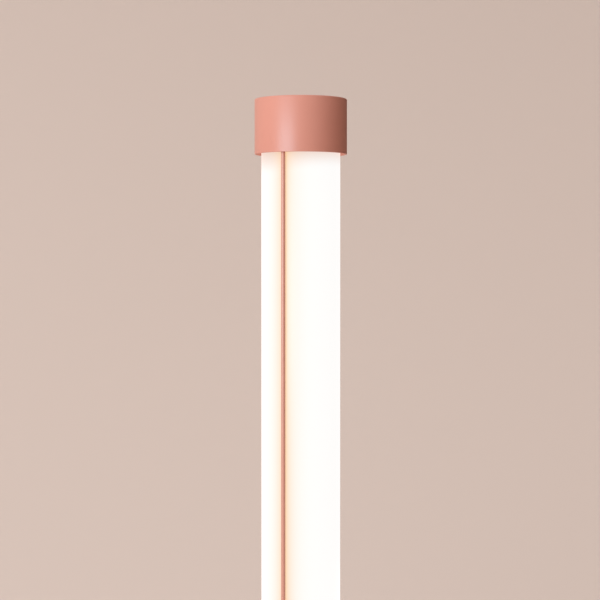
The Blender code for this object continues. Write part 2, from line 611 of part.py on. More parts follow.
def conduit_route():
    """Middle line of the conduit: out of the lower notch, up the tube and in to the upper notch."""
    inner = CONDUIT_AXIS - CONDUIT_BEND
    lower = arc((inner, LOWER_ENTRY + CONDUIT_BEND), CONDUIT_BEND, -90, 0, BEND_STEPS)
    upper = arc((inner, UPPER_ENTRY - CONDUIT_BEND), CONDUIT_BEND, 0, 90, BEND_STEPS)
    outline = [(CONDUIT_END, LOWER_ENTRY), *lower, *upper, (CONDUIT_END, UPPER_ENTRY)]
    return [Vector((0, -r, z)) for r, z in outline]


def feed_conduit():
    """Thin steel tube, bent in at both ends like a staple, which hooks in the two fittings."""
    route = conduit_route()
    tube = closed_mesh(wire("feed_conduit", route, CONDUIT_RADIUS, PINK_COAT, resolution=4))
    conduit = piece("feed_conduit", tube, PINK_COAT)
    past = Vector((0, CONDUIT_DIAMETER, 0))
    bore_route = [route[0] + past, *route, route[-1] + past]
    cut(conduit, closed_mesh(wire("conduit_bore", bore_route, CONDUIT_BORE, PINK_COAT, resolution=2)))


def wall_fitting(name, profile, barrel, finish, axis):
    """A turned flange with its back curved to the cup's wall, on a barrel (radius, back, front)."""
    flange = turned(name, profile, finish, ROUND_FACETS, parent=axis)
    reach = 2 * max(r for r, z in profile)
    wall = cylinders(f"{name}_saddle", SHELL_RADIUS + SEAT, CHAMBER_MIDDLE - reach, CHAMBER_MIDDLE + reach,
                     facets=SHELL_FACETS)
    cut(flange, wall, parent=LAMP)
    cut(flange, cylinders(f"{name}_barrel", *barrel, facets=ROUND_FACETS), "UNION")
    return flange


def saddle_depth(radius):
    """How far the edge of a round flange reaches back along the cup's wall."""
    return SHELL_RADIUS - math.sqrt(SHELL_RADIUS ** 2 - radius ** 2)


def switch():
    """Panel push switch: barrel and bezel, ring nut, two blades and the sprung button."""
    bore = BUTTON_DIAMETER / 2 + RUNNING
    bezel = BARREL_RADIUS + BEZEL_RIM
    front = SEAT + BEZEL_THICKNESS
    inner_end = front + BUTTON_PROUD - BUTTON_LENGTH
    bore_end = inner_end - BUTTON_TRAVEL - SEAT
    back = -BARREL_LENGTH + SEAT
    skirt = -saddle_depth(bezel) - SEAT
    profile = [(0, front), *arc((bezel - BEZEL_EDGE, front - BEZEL_EDGE), BEZEL_EDGE, 90, 0), (bezel, skirt),
               (0, skirt)]
    body = wall_fitting("switch_body", profile, (BARREL_RADIUS, back, front / 2), PINK_COAT, SWITCH_AXIS)
    cut(body, cylinders("button_bore", bore, bore_end, front + SEAT, facets=ROUND_FACETS))
    ring_nut("switch_nut", BARREL_RADIUS, SWITCH_AXIS)
    top = front + BUTTON_PROUD
    button = BUTTON_DIAMETER / 2
    profile = [(0, top - BUTTON_DISH), (button - BEZEL_EDGE, top), (button, top - BEZEL_EDGE),
               (button, inner_end), (0, inner_end)]
    turned("power_button", profile, PINK_COAT, ROUND_FACETS, parent=SWITCH_AXIS)
    for i, x in enumerate((-BLADE_SPREAD / 2, BLADE_SPREAD / 2)):
        low = (x - BLADE_THICKNESS / 2, -BLADE_WIDTH / 2, -BARREL_LENGTH - BLADE_LENGTH)
        high = (x + BLADE_THICKNESS / 2, BLADE_WIDTH / 2, -BARREL_LENGTH)
        blade = boxes(f"switch_blade_{i + 1}", [(low, high)])
        piece(blade.name, blade, BRASS, parent=SWITCH_AXIS)


def ring_nut(name, thread, axis):
    """Hexagon nut behind the shell's wall, its corners at the wall's curve."""
    outer = thread + RUNNING + NUT_RIM
    near = math.sqrt(SHELL_BORE ** 2 - outer ** 2) - SHELL_RADIUS - SEAT
    far = near - NUT_THICKNESS
    nut = turned(name, [(0, near), (outer, near), (outer, far), (0, far)], ZINC, 6, parent=axis)
    cut(nut, cylinders(f"{name}_thread", thread + RUNNING, far - SEAT, near + SEAT, facets=ROUND_FACETS))


def cord_gland():
    """Moulded gland for the supply cord, with its nut inside the cup."""
    bore = GLAND_BORE / 2
    rim = GLAND_RADIUS + GLAND_RIM
    back = SEAT - GLAND_LENGTH
    skirt = -saddle_depth(rim) - SEAT
    profile = [(0, GLAND_NOSE), (bore + GLAND_LIP, GLAND_NOSE),
               *arc((GLAND_RADIUS, GLAND_RIM_HEIGHT), GLAND_RIM, 60, 0), (rim, skirt), (0, skirt)]
    barrel = (GLAND_RADIUS, back, GLAND_RIM_HEIGHT / 2)
    gland = wall_fitting("cord_gland", profile, barrel, BLACK_NYLON, GLAND_AXIS)
    cut(gland, cylinders("cord_bore", bore, back - SEAT, GLAND_NOSE + SEAT, facets=ROUND_FACETS))
    ring_nut("gland_nut", GLAND_RADIUS, GLAND_AXIS)


def terminal_block():
    """Block on the cup's floor, with two screw wells and a wire way at each pole."""
    corners = (-BLOCK_HALF, BLOCK_FRONT, BLOCK_BOTTOM), (BLOCK_HALF, BLOCK_BACK, BLOCK_TOP)
    block = piece("terminal_block", boxes("terminal_block", [corners]), WHITE_PLASTIC)
    edge = block.modifiers.new("Edges", "BEVEL")
    edge.width = BLOCK_EDGE
    edge.segments = 1
    spots = [(x, BLOCK_MIDDLE + y) for x in POLES for y in (-WELL_SPREAD / 2, WELL_SPREAD / 2)]
    cut(block, cylinders("screw_wells", WELL_DIAMETER / 2, BLOCK_TOP - WELL_DEPTH, BLOCK_TOP + SEAT, spots))
    ways = cylinders("wire_ways", WIRE_HOLE, -BLOCK_DEPTH, BLOCK_DEPTH, [(x, 0) for x in POLES])
    cut(block, ways, location=(0, BLOCK_MIDDLE, BLOCK_WAY), rotation=(math.pi / 2, 0, 0))


def earth_tag():
    """Bent brass tag on the cup's floor that earths the metal body."""
    x, y = TAG_SPOT
    near, far = x - BLADE_THICKNESS / 2, x + BLADE_THICKNESS / 2
    end = near + TAG_FOOT
    bottom = CUP_FLOOR_TOP + SEAT
    step = bottom + BLADE_THICKNESS
    outline = [(near, bottom), (end, bottom), (end, step), (far, step), (far, TAG_TOP), (near, TAG_TOP)]
    shape = bmesh.new()
    side = shape.faces.new([shape.verts.new((u, y - BLADE_WIDTH / 2, w)) for u, w in outline])
    swept = bmesh.ops.extrude_face_region(shape, geom=[side])["geom"]
    moved = [v for v in swept if isinstance(v, bmesh.types.BMVert)]
    bmesh.ops.translate(shape, verts=moved, vec=(0, BLADE_WIDTH, 0))
    bmesh.ops.recalc_face_normals(shape, faces=shape.faces)
    piece("earth_tag", mesh_of("earth_tag", shape), BRASS)


def wires():
    """Live lead to the switch, feed up the conduit, neutral to the fixed holder, and earth to its tag."""
    radius = WIRE_DIAMETER / 2
    tip = BLADE_TIP + SEAT
    inside = BLOCK_FRONT + WIRE_GRIP
    left = -BLADE_SPREAD / 2
    right = BLADE_SPREAD / 2
    live = [(POLES[1], inside, BLOCK_WAY), (POLES[1], BLOCK_FRONT - 0.002, BLOCK_WAY),
            (left, (tip + BLOCK_FRONT) / 2, (CHAMBER_MIDDLE + BLOCK_WAY) / 2),
            (left, tip + 0.002, CHAMBER_MIDDLE), (left, tip, CHAMBER_MIDDLE)]
    wire("live_wire", smooth_route(live), radius, BROWN_WIRE)
    rising = [(right, tip, CHAMBER_MIDDLE), (right, tip + 0.003, CHAMBER_MIDDLE + 0.0005),
              (right, tip + 0.005, CHAMBER_MIDDLE + 0.004),
              (right * 0.8, tip + 0.003, CHAMBER_MIDDLE + 0.0075),
              (right * 0.3, -HOLDER_RADIUS, HOLDER_BOTTOM - 0.002),
              (0, -FITTING_BORE, HOLDER_BOTTOM + 0.0008),
              (0, -FITTING_BORE - 0.0005, LOWER_ENTRY - 0.002)]
    route = conduit_route()
    housing_end = Vector((0, -HOUSING_BORE - SEAT, UPPER_ENTRY))
    wire("feed_wire", [*smooth_route([*rising, route[0]]), *route[1:], housing_end], radius, BROWN_WIRE)
    x, y = NEUTRAL_SPOT
    neutral = [(POLES[0], inside, BLOCK_WAY), (POLES[0], BLOCK_FRONT - 0.002, BLOCK_WAY),
               (POLES[0], BLOCK_FRONT - 0.004, BLOCK_WAY + 0.005),
               (x - 0.002, y - 0.003, HOLDER_BOTTOM - 0.006),
               (x, y, HOLDER_BOTTOM - 0.001), (x, y, HOLDER_BOTTOM + NEUTRAL_DEPTH - SEAT)]
    wire("neutral_wire", smooth_route(neutral), radius, BLUE_WIRE)
    x, y = TAG_SPOT
    earth = [(POLES[2], inside, BLOCK_WAY), (POLES[2], BLOCK_FRONT - 0.002, BLOCK_WAY),
             (POLES[2] + 0.002, y - 0.0015, BLOCK_WAY + 0.003), (x - 0.0025, y - 0.0015, TAG_TOP + 0.003),
             (x, y, TAG_TOP + 0.002), (x, y, TAG_TOP + SEAT)]
    wire("earth_wire", smooth_route(earth), radius, EARTH_WIRE)


foot()
lower_cup()
pillars()
end_fitting("lower", LOWER_FACE, upside=False)
lower_lampholder()
led_lamp()
opal_tube()
end_fitting("upper", UPPER_FACE, upside=True)
upper_lampholder()
lampholder_spring()
feed_conduit()
top_cap()
switch()
cord_gland()
terminal_block()
earth_tag()
wires()
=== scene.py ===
import math

import bmesh
import bpy
from mathutils import Matrix, Vector


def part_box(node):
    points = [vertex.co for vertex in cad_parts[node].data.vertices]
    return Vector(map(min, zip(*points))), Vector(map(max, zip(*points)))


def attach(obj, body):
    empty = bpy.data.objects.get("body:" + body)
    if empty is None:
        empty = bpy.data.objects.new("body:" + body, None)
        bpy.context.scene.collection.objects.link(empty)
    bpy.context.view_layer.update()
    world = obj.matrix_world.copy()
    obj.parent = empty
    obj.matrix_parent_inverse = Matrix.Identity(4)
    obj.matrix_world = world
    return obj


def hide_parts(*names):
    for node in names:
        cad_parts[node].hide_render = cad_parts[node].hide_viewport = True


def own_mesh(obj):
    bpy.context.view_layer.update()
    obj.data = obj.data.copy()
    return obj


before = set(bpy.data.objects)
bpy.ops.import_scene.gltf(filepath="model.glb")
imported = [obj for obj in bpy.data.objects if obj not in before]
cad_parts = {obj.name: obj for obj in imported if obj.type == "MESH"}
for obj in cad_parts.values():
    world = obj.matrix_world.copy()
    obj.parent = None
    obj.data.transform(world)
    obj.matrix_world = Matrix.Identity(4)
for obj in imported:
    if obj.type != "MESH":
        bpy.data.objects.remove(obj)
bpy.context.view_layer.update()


# Camera
# The photograph looks at the upper half of the tube, almost level, from a little to the right of
# the conduit. The tube is 60 mm wide and 78.8 pixels in it, which sets the scale at its axis.
FRAME_PIXELS = 600
TUBE_WIDTH = 0.060
TUBE_PIXELS = 78.8
PIXEL = TUBE_WIDTH / TUBE_PIXELS
RIM_ABOVE_CENTRE = 145.3 * PIXEL     # from the picture's middle up to the cap's rim
AXIS_RIGHT = 0.8 * PIXEL             # from the picture's middle to the tube's axis
VIEW_DISTANCE = 1750 * PIXEL
VIEW_AZIMUTH = math.radians(24.3)
VIEW_ELEVATION = math.radians(0.95)


def at(azimuth, distance, height):
    """A place round the lamp. Azimuth 0 is its front and grows to the right."""
    return Vector((distance * math.sin(azimuth), -distance * math.cos(azimuth), height))


def placed(name, data):
    """An object of the scene."""
    made = bpy.data.objects.new(name, data)
    bpy.context.scene.collection.objects.link(made)
    return made


def aim(made, direction):
    """Turn a camera or a light to a direction."""
    made.rotation_mode = "QUATERNION"
    made.rotation_quaternion = direction.to_track_quat("-Z", "Y")


cap_low, cap_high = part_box("top_cap")
to_camera = at(VIEW_AZIMUTH, math.cos(VIEW_ELEVATION), math.sin(VIEW_ELEVATION))
to_right = Vector((math.cos(VIEW_AZIMUTH), math.sin(VIEW_AZIMUTH), 0))
target = Vector((0, 0, cap_low.z - RIM_ABOVE_CENTRE)) - AXIS_RIGHT * to_right
camera = placed("camera", bpy.data.cameras.new("camera"))
camera.location = target + VIEW_DISTANCE * to_camera
aim(camera, -to_camera)
camera.data.lens = camera.data.sensor_width * VIEW_DISTANCE / (FRAME_PIXELS * PIXEL)
bpy.context.scene.camera = camera


# Studio
# A warm beige floor that sweeps up all round into a wall, washed from overhead under a pale
# ceiling. One large soft window-like light stands at the front left, with a low strip before it
# that alone shows in the gloss of the paint, and a dark cloth flag shades the right.
FLOOR_RADIUS = 0.7
WALL_RADIUS = 4.0
WALL_HEIGHT = 4.2
SWEEP_STEPS = 48
BACKDROP = (0.62, 0.530, 0.482)
MOTTLE_SIZE = 0.5
MOTTLE_GAIN = 1.01
STUDIO_ROUGHNESS = 0.9
FLAG_FROM = math.radians(66)
FLAG_TO = math.radians(196)
FLAG_DISTANCE = 0.55
FLAG_BOTTOM = 0.22
FLAG_TOP = 1.5
FLAG_STRIPS = 24
FLAG_CLOTH = (0.20, 0.135, 0.105)
WEAVE_SIZE = 0.002
WEAVE_GAIN = 1.05
KEY_AZIMUTH = math.radians(-11.5)
KEY_ELEVATION = math.radians(24)
KEY_DISTANCE = 1.8
KEY_SIZE = (1.4, 1.4)
KEY_WATTS = 23
KEY_COLOUR = (0.87, 1.0, 1.08)
STRIP_DISTANCE = 0.8
STRIP_HEIGHT = 0.585
STRIP_SIZE = (0.50, 0.24)
STRIP_WATTS = 2.6
STRIP_COLOUR = (0.55, 1.0, 1.20)
WASH_AZIMUTH = math.radians(285)
WASH_DISTANCE = 1.0
WASH_HEIGHT = 4.3
WASH_SIZE = (2.5, 2.5)
WASH_WATTS = 106
WASH_COLOUR = (1.0, 1.0, 1.0)
CEILING = (1.0, 0.96, 0.93)
CEILING_STRENGTH = 0.70
ROUND_SIDES = 144                    # of a turned mesh, where nothing else is said
FILLET_STEPS = 5
SHARP_ANGLE = math.radians(32)


class Socket:
    """An output among the nodes of a tree. Arithmetic on it adds Math nodes."""

    def __init__(self, nodes, socket):
        self.nodes = nodes
        self.socket = socket

    def __add__(self, other):
        return self.nodes.math("ADD", self, other)

    def __sub__(self, other):
        return self.nodes.math("SUBTRACT", self, other)

    def __rsub__(self, other):
        return self.nodes.math("SUBTRACT", other, self)

    def __mul__(self, other):
        return self.nodes.math("MULTIPLY", self, other)

    __radd__ = __add__
    __rmul__ = __mul__


class Nodes:
    """A node tree in the making."""

    def __init__(self, tree):
        self.tree = tree

    def node(self, kind, settings=None, sockets=None, output=0):
        """Add a node: its settings, then the values and links of its sockets."""
        made = self.tree.nodes.new(kind)
        for key, value in (settings or {}).items():
            setattr(made, key, value)
        for key, value in (sockets or {}).items():
            self.feed(made.inputs[key], value)
        return Socket(self, made.outputs[output])

    def feed(self, socket, value):
        """Link a socket, or set its value."""
        if isinstance(value, Socket):
            self.tree.links.new(value.socket, socket)
        else:
            socket.default_value = value

    def math(self, operation, *values):
        """A Math node."""
        return self.node("ShaderNodeMath", {"operation": operation}, dict(enumerate(values)))


class Finish(Nodes):
    """A material on one Principled shader, its patterns in metres on the object's coordinates."""

    def __init__(self, name):
        self.material = bpy.data.materials.new(name)
        self.material.use_nodes = True
        super().__init__(self.material.node_tree)
        self.shader = self.tree.nodes["Principled BSDF"]
        self.place = self.node("ShaderNodeTexCoord", output="Object")

    def dress(self, **sockets):
        """Set the shader's sockets, named with underscores for spaces."""
        for key, value in sockets.items():
            self.feed(self.shader.inputs[key.replace("_", " ")], value)

    def noise(self, size, detail=2.0, stretch=(1, 1, 1)):
        """Noise from 0 to 1 with features of about that size, which stretch draws out."""
        place = self.node("ShaderNodeMapping", {"vector_type": "POINT"},
                          {"Vector": self.place, "Scale": [1 / s for s in stretch]})
        return self.node("ShaderNodeTexNoise", {},
                         {"Vector": place, "Scale": 1 / size, "Detail": detail})

    def mix(self, factor, *colours):
        """Between two colours."""
        first, second = [c if isinstance(c, Socket) else (*c, 1) for c in colours]
        return self.node("ShaderNodeMix", {"data_type": "RGBA"},
                         {0: factor, 6: first, 7: second}, output=2)

    def bump(self, height, depth, strength):
        """Relief on the shader's normal."""
        self.dress(Normal=self.node("ShaderNodeBump", {}, {"Height": height, "Distance": depth,
                                                           "Strength": strength}))


def rounded(corners, steps):
    """An outline of (radius, height) points through corners, each (radius, height, fillet)."""
    outline = []
    ends = [corners[-1], *corners, corners[0]]
    for before, (radius, height, fillet), after in zip(ends, corners, ends[2:]):
        corner = Vector((radius, height))
        if fillet == 0:
            outline.append(corner)
            continue
        back = (Vector(before[:2]) - corner).normalized()
        on = (Vector(after[:2]) - corner).normalized()
        half = back.angle(on) / 2
        middle = corner + (back + on).normalized() * fillet / math.sin(half)
        start = corner + back * fillet / math.tan(half) - middle
        end = corner + on * fillet / math.tan(half) - middle
        outline += [middle + fillet * start.slerp(end, i / steps) for i in range(steps + 1)]
    return outline


def smoothed(mesh):
    """The mesh, shaded smooth but for its sharp edges."""
    mesh.shade_smooth()
    mesh.set_sharp_from_angle(angle=SHARP_ANGLE)
    return mesh


def mesh_of(shape):
    """The plain mesh of a shape in the making."""
    made = bpy.data.meshes.new("plain")
    shape.to_mesh(made)
    shape.free()
    return smoothed(made)


def turned(corners, sides=ROUND_SIDES, ring=False, steps=FILLET_STEPS, place=Matrix.Identity(4)):
    """A mesh turned about Z from the corners of its outline: a ring, or a solid on the axis."""
    shape = bmesh.new()
    rows = []
    for point in rounded(corners, steps):
        turns = sides if point.x > 0 else 1
        angles = [2 * math.pi * i / turns for i in range(turns)]
        rows.append([shape.verts.new((point.x * math.cos(a), point.x * math.sin(a), point.y))
                     for a in angles])
    for upper, lower in zip(rows, rows[1:] + rows[:1] if ring else rows[1:]):
        for i in range(max(len(upper), len(lower))):
            j = i + 1
            quad = [upper[i % len(upper)], upper[j % len(upper)],
                    lower[j % len(lower)], lower[i % len(lower)]]
            shape.faces.new(dict.fromkeys(quad))
    bmesh.ops.recalc_face_normals(shape, faces=shape.faces)
    shape.transform(place)
    return mesh_of(shape)


def panel_light(name, place, towards, size, watts, colour):
    """A soft box that the camera does not see."""
    made = placed(name, bpy.data.lights.new(name, "AREA"))
    made.data.shape = "RECTANGLE"
    made.data.size, made.data.size_y = size
    made.data.energy = watts
    made.data.color = colour
    made.location = place
    aim(made, towards - place)
    made.visible_camera = False
    return made


def link_to_studio(light, state):
    """Let a light fall on the studio alone (INCLUDE), or on all but the studio (EXCLUDE)."""
    group = bpy.data.collections.new(light.name)
    group.objects.link(studio)
    group.collection_objects[0].light_linking.link_state = state
    light.light_linking.receiver_collection = group


studio_paint = Finish("studio_paint")
mottle = studio_paint.noise(MOTTLE_SIZE, detail=3)
mottled = [c * MOTTLE_GAIN for c in BACKDROP]
studio_paint.dress(Base_Color=studio_paint.mix(mottle, BACKDROP, mottled),
                   Roughness=STUDIO_ROUGHNESS)
sweep = WALL_RADIUS - FLOOR_RADIUS
cove = turned([(0, 0, 0), (WALL_RADIUS, 0, sweep), (WALL_RADIUS, WALL_HEIGHT, 0)],
              steps=SWEEP_STEPS)
cove.flip_normals()
cove.materials.append(studio_paint.material)
studio = placed("studio_floor", cove)

flag_paint = Finish("flag_cloth")
weave = flag_paint.noise(WEAVE_SIZE)
woven = [c * WEAVE_GAIN for c in FLAG_CLOTH]
flag_paint.dress(Base_Color=flag_paint.mix(weave, FLAG_CLOTH, woven), Roughness=STUDIO_ROUGHNESS)
flag_angles = [FLAG_FROM + (FLAG_TO - FLAG_FROM) * i / FLAG_STRIPS for i in range(FLAG_STRIPS + 1)]
flag_points = [at(angle, FLAG_DISTANCE, height) for angle in flag_angles
               for height in (FLAG_BOTTOM, FLAG_TOP)]
flag_faces = [(i, i + 1, i + 3, i + 2) for i in range(0, 2 * FLAG_STRIPS, 2)]
flag_mesh = bpy.data.meshes.new("flag")
flag_mesh.from_pydata(flag_points, [], flag_faces)
flag_mesh.materials.append(flag_paint.material)
flag = placed("flag", flag_mesh)
flag.visible_camera = False
flag.visible_shadow = False

key_place = at(KEY_AZIMUTH, KEY_DISTANCE * math.cos(KEY_ELEVATION),
               target.z + KEY_DISTANCE * math.sin(KEY_ELEVATION))
key = panel_light("window_light", key_place, target, KEY_SIZE, KEY_WATTS, KEY_COLOUR)
key.visible_glossy = False
link_to_studio(key, "EXCLUDE")
strip_place = at(KEY_AZIMUTH, STRIP_DISTANCE, STRIP_HEIGHT)
strip = panel_light("gloss_strip", strip_place, Vector((0, 0, STRIP_HEIGHT)), STRIP_SIZE,
                    STRIP_WATTS, STRIP_COLOUR)
strip.visible_diffuse = False
link_to_studio(strip, "EXCLUDE")
wash_place = at(WASH_AZIMUTH, WASH_DISTANCE, WASH_HEIGHT)
wash = panel_light("studio_wash", wash_place, at(WASH_AZIMUTH, WASH_DISTANCE, 0), WASH_SIZE,
                   WASH_WATTS, WASH_COLOUR)
link_to_studio(wash, "INCLUDE")

world = bpy.data.worlds.new("ceiling_light")
world.use_nodes = True
sky = world.node_tree.nodes["Background"].inputs
sky["Color"].default_value = (*CEILING, 1)
sky["Strength"].default_value = CEILING_STRENGTH
bpy.context.scene.world = world
bpy.context.scene.view_settings.view_transform = "Standard"


# Foot pad
# A disc of black rubber, moulded with rings that grip the floor. It is glued under the plate and
# keeps the steel off the table.
BLACK_RUBBER = (0.025, 0.025, 0.026)
RUBBER_GRAIN = 0.0006
RUBBER_RELIEF = 0.0001
RUBBER_ROUGHNESS = 0.66
DUST_SIZE = 0.012
DUST_GAIN = 1.4
DUST_LIFT = 0.01
DUST_ROUGHNESS = 0.2
PAD_EDGE = 0.0005
GROOVE_DEPTH = 0.0007
GROOVE_WIDTH = 0.0020
GROOVE_RADII = (0.072, 0.060, 0.045, 0.030)


def piece(name, mesh, finish, body, slot, *stands_for):
    """A finished piece of the lamp, on its body, in place of the nodes that it stands for."""
    made = placed(name, mesh)
    mesh.materials.clear()
    mesh.materials.append(finish.material)
    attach(made, body)
    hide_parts(*stands_for)
    return made


def rubber(name, colour):
    """Matt moulded rubber with a fine grain and a little dust."""
    made = Finish(name)
    dust = made.noise(DUST_SIZE, detail=4)
    grain = made.noise(RUBBER_GRAIN, detail=3)
    dusty = [c * DUST_GAIN + DUST_LIFT for c in colour]
    made.dress(Base_Color=made.mix(dust, colour, dusty),
               Roughness=RUBBER_ROUGHNESS + DUST_ROUGHNESS * dust)
    made.bump(grain, RUBBER_RELIEF, strength=0.4)
    return made


black_rubber = rubber("black_rubber_finish", BLACK_RUBBER)
low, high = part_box("foot_pad")
underside = []
for radius in GROOVE_RADII:
    outer = radius + GROOVE_WIDTH
    roof = low.z + GROOVE_DEPTH
    underside += [(outer, low.z, 0), (outer, roof, 0), (radius, roof, 0), (radius, low.z, 0)]
pad = turned([(0, high.z, 0), (high.x, high.z, PAD_EDGE), (high.x, low.z, PAD_EDGE), *underside,
              (0, low.z, 0)])
piece("rubber_foot_pad", pad, black_rubber, "lamp", "black_rubber", "foot_pad")


# Foot plate
# A thick disc of mild steel that keeps the tall lamp upright, turned, rounded at its edge and
# powder coated in terracotta pink. Three screws in its underside hold it to the cup.
DEEP_PINK = (0.70, 0.290, 0.218)
PALE_PINK = (0.73, 0.310, 0.236)
TONE_SIZE = 0.03
PEEL_SIZE = 0.0011
PEEL_RELIEF = 0.00006
PEEL_ROUGHNESS = 0.10
COAT_GRAIN = 0.00025
COAT_GRAIN_SHARE = 0.35
COAT_ROUGHNESS = 0.34
COAT_IOR = 1.6
SHELL_SIDES = 192
DRILL_SIDES = 48
PLATE_ROUND = 0.0020
PLATE_UNDER_ROUND = 0.0005
HEAD_RECESS = 0.0026
HEAD_HOLE = 0.00305
SCREW_HOLE = 0.0018
SCREW_NUMBERS = (1, 2, 3)            # of the screws in a set
THROUGH = 0.0010                     # how far a drill runs on past a face


def powder_coat(name, deep, pale):
    """Satin powder coat: a nearly even colour, a soft orange peel and a fine grain in it."""
    made = Finish(name)
    peel = made.noise(PEEL_SIZE)
    grain = made.noise(COAT_GRAIN)
    tone = made.noise(TONE_SIZE, detail=3)
    made.dress(Base_Color=made.mix(tone, deep, pale),
               Roughness=COAT_ROUGHNESS + PEEL_ROUGHNESS * peel, IOR=COAT_IOR)
    made.bump(peel + COAT_GRAIN_SHARE * grain, PEEL_RELIEF, strength=0.5)
    return made


def evaluated(made):
    """The plain mesh of an object with its modifiers."""
    depsgraph = bpy.context.evaluated_depsgraph_get()
    return smoothed(bpy.data.meshes.new_from_object(made.evaluated_get(depsgraph)))


def bored(mesh, *cutters):
    """The mesh with closed meshes cut out of it."""
    blank = placed("blank", mesh)
    tools = [placed("tool", cutter) for cutter in cutters]
    for tool in tools:
        blank.modifiers.new("cut", "BOOLEAN").object = tool
    made = evaluated(blank)
    for used in (blank, *tools):
        bpy.data.objects.remove(used)
    return made


def drill(radius, low, high, place=Matrix.Identity(4)):
    """A cylinder about the Z of its place, between two heights."""
    return turned([(0, high, 0), (radius, high, 0), (radius, low, 0), (0, low, 0)],
                  sides=DRILL_SIDES, place=place)


def spots(name):
    """The upright axes of a set of screws."""
    middles = [sum(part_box(f"{name}_{i}"), Vector()) / 2 for i in SCREW_NUMBERS]
    return [Matrix.Translation((middle.x, middle.y, 0)) for middle in middles]


pink_coat = powder_coat("pink_powder_coat", DEEP_PINK, PALE_PINK)
foot_spots = spots("foot_screw")
low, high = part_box("foot_plate")
plate = turned([(0, high.z, 0), (high.x, high.z, PLATE_ROUND), (high.x, low.z, PLATE_UNDER_ROUND),
                (0, low.z, 0)], sides=SHELL_SIDES)
recesses = [drill(HEAD_HOLE, low.z - THROUGH, low.z + HEAD_RECESS, spot) for spot in foot_spots]
holes = [drill(SCREW_HOLE, low.z, high.z + THROUGH, spot) for spot in foot_spots]
plate = bored(plate, *recesses, *holes)
piece("steel_foot_plate", plate, pink_coat, "lamp", "pink_coat", "foot_plate")


# Lower cup
# Spun from sheet steel like the cap, deburred at its rim and powder coated. It stands on the
# plate, with a hole at the front for the switch and one at the back for the cord's gland.
SHELL_WALL = 0.0012
SHELL_CORNER = 0.0009
INNER_CORNER = 0.0006
RIM_ROUND = 0.0003
CUP_FLOOR = 0.0020
SWITCH_HOLE = 0.0063
GLAND_HOLE = 0.0053

cup_low, cup_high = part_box("lower_cup")
shell = cup_high.x
bore = shell - SHELL_WALL
floor = cup_low.z + CUP_FLOOR
chamber = sum(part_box("switch_body"), Vector()).z / 2
switch_place = Matrix.Translation((0, -shell, chamber)) @ Matrix.Rotation(math.pi / 2, 4, "X")
gland_place = Matrix.Translation((0, shell, chamber)) @ Matrix.Rotation(-math.pi / 2, 4, "X")
cup = turned([(0, floor, 0), (bore, floor, INNER_CORNER), (bore, cup_high.z, RIM_ROUND),
              (shell, cup_high.z, RIM_ROUND), (shell, cup_low.z, SHELL_CORNER),
              (0, cup_low.z, 0)], sides=SHELL_SIDES)
holes = [drill(SCREW_HOLE, cup_low.z - THROUGH, floor + THROUGH, spot) for spot in foot_spots]
holes += [drill(SWITCH_HOLE, -shell / 2, THROUGH, switch_place),
          drill(GLAND_HOLE, -shell / 2, THROUGH, gland_place)]
piece("spun_lower_cup", bored(cup, *holes), pink_coat, "lamp", "pink_coat", "lower_cup")


# Push switch
# A latching push switch in the front of the cup. Its turned bezel is filed to sit on the round
# wall, its button is dished for a fingertip, and both are coated like the cup.
SMALL_SIDES = 96
SEAT = 0.0003                        # between pieces that lie on each other
SAME_HEIGHT = 1e-6
BEZEL = 0.0080
BEZEL_FRONT = 0.0023
BEZEL_ROUND = 0.0006
BARREL = 0.0060
BARREL_BACK = -0.0127
BUTTON_BORE = 0.0048
BORE_END = -0.0059
BORE_ROUND = 0.0002
BUTTON = 0.0045
BUTTON_FRONT = 0.0051
BUTTON_BACK = -0.0034
BUTTON_ROUND = 0.0004
DISH_DEPTH = 0.0004
DISH = 0.0037
DISH_STEPS = 6


def saddled(mesh, seat, place):
    """The mesh in its place in the cup's wall, its flat back bent to the wall's round."""
    for vertex in mesh.vertices:
        if abs(vertex.co.z - seat) < SAME_HEIGHT:
            vertex.co.z = math.sqrt((shell + seat) ** 2 - vertex.co.x ** 2) - shell
    mesh.transform(place)
    return mesh


bezel = turned([(0, BORE_END, 0), (BUTTON_BORE, BORE_END, 0),
                (BUTTON_BORE, BEZEL_FRONT, BORE_ROUND), (BEZEL, BEZEL_FRONT, BEZEL_ROUND),
                (BEZEL, SEAT, 0), (BARREL, SEAT, 0), (BARREL, BARREL_BACK, 0),
                (0, BARREL_BACK, 0)], sides=SMALL_SIDES)
bezel = saddled(bezel, SEAT, switch_place)
piece("switch_bezel", bezel, pink_coat, "lamp", "pink_coat", "switch_body")
dish = [(DISH * i / DISH_STEPS, BUTTON_FRONT - DISH_DEPTH * (1 - (i / DISH_STEPS) ** 2), 0)
        for i in range(DISH_STEPS + 1)]
button = turned([*dish, (BUTTON, BUTTON_FRONT, BUTTON_ROUND), (BUTTON, BUTTON_BACK, 0),
                 (0, BUTTON_BACK, 0)], sides=SMALL_SIDES, place=switch_place)
piece("dished_button", button, pink_coat, "button", "pink_coat", "power_button")


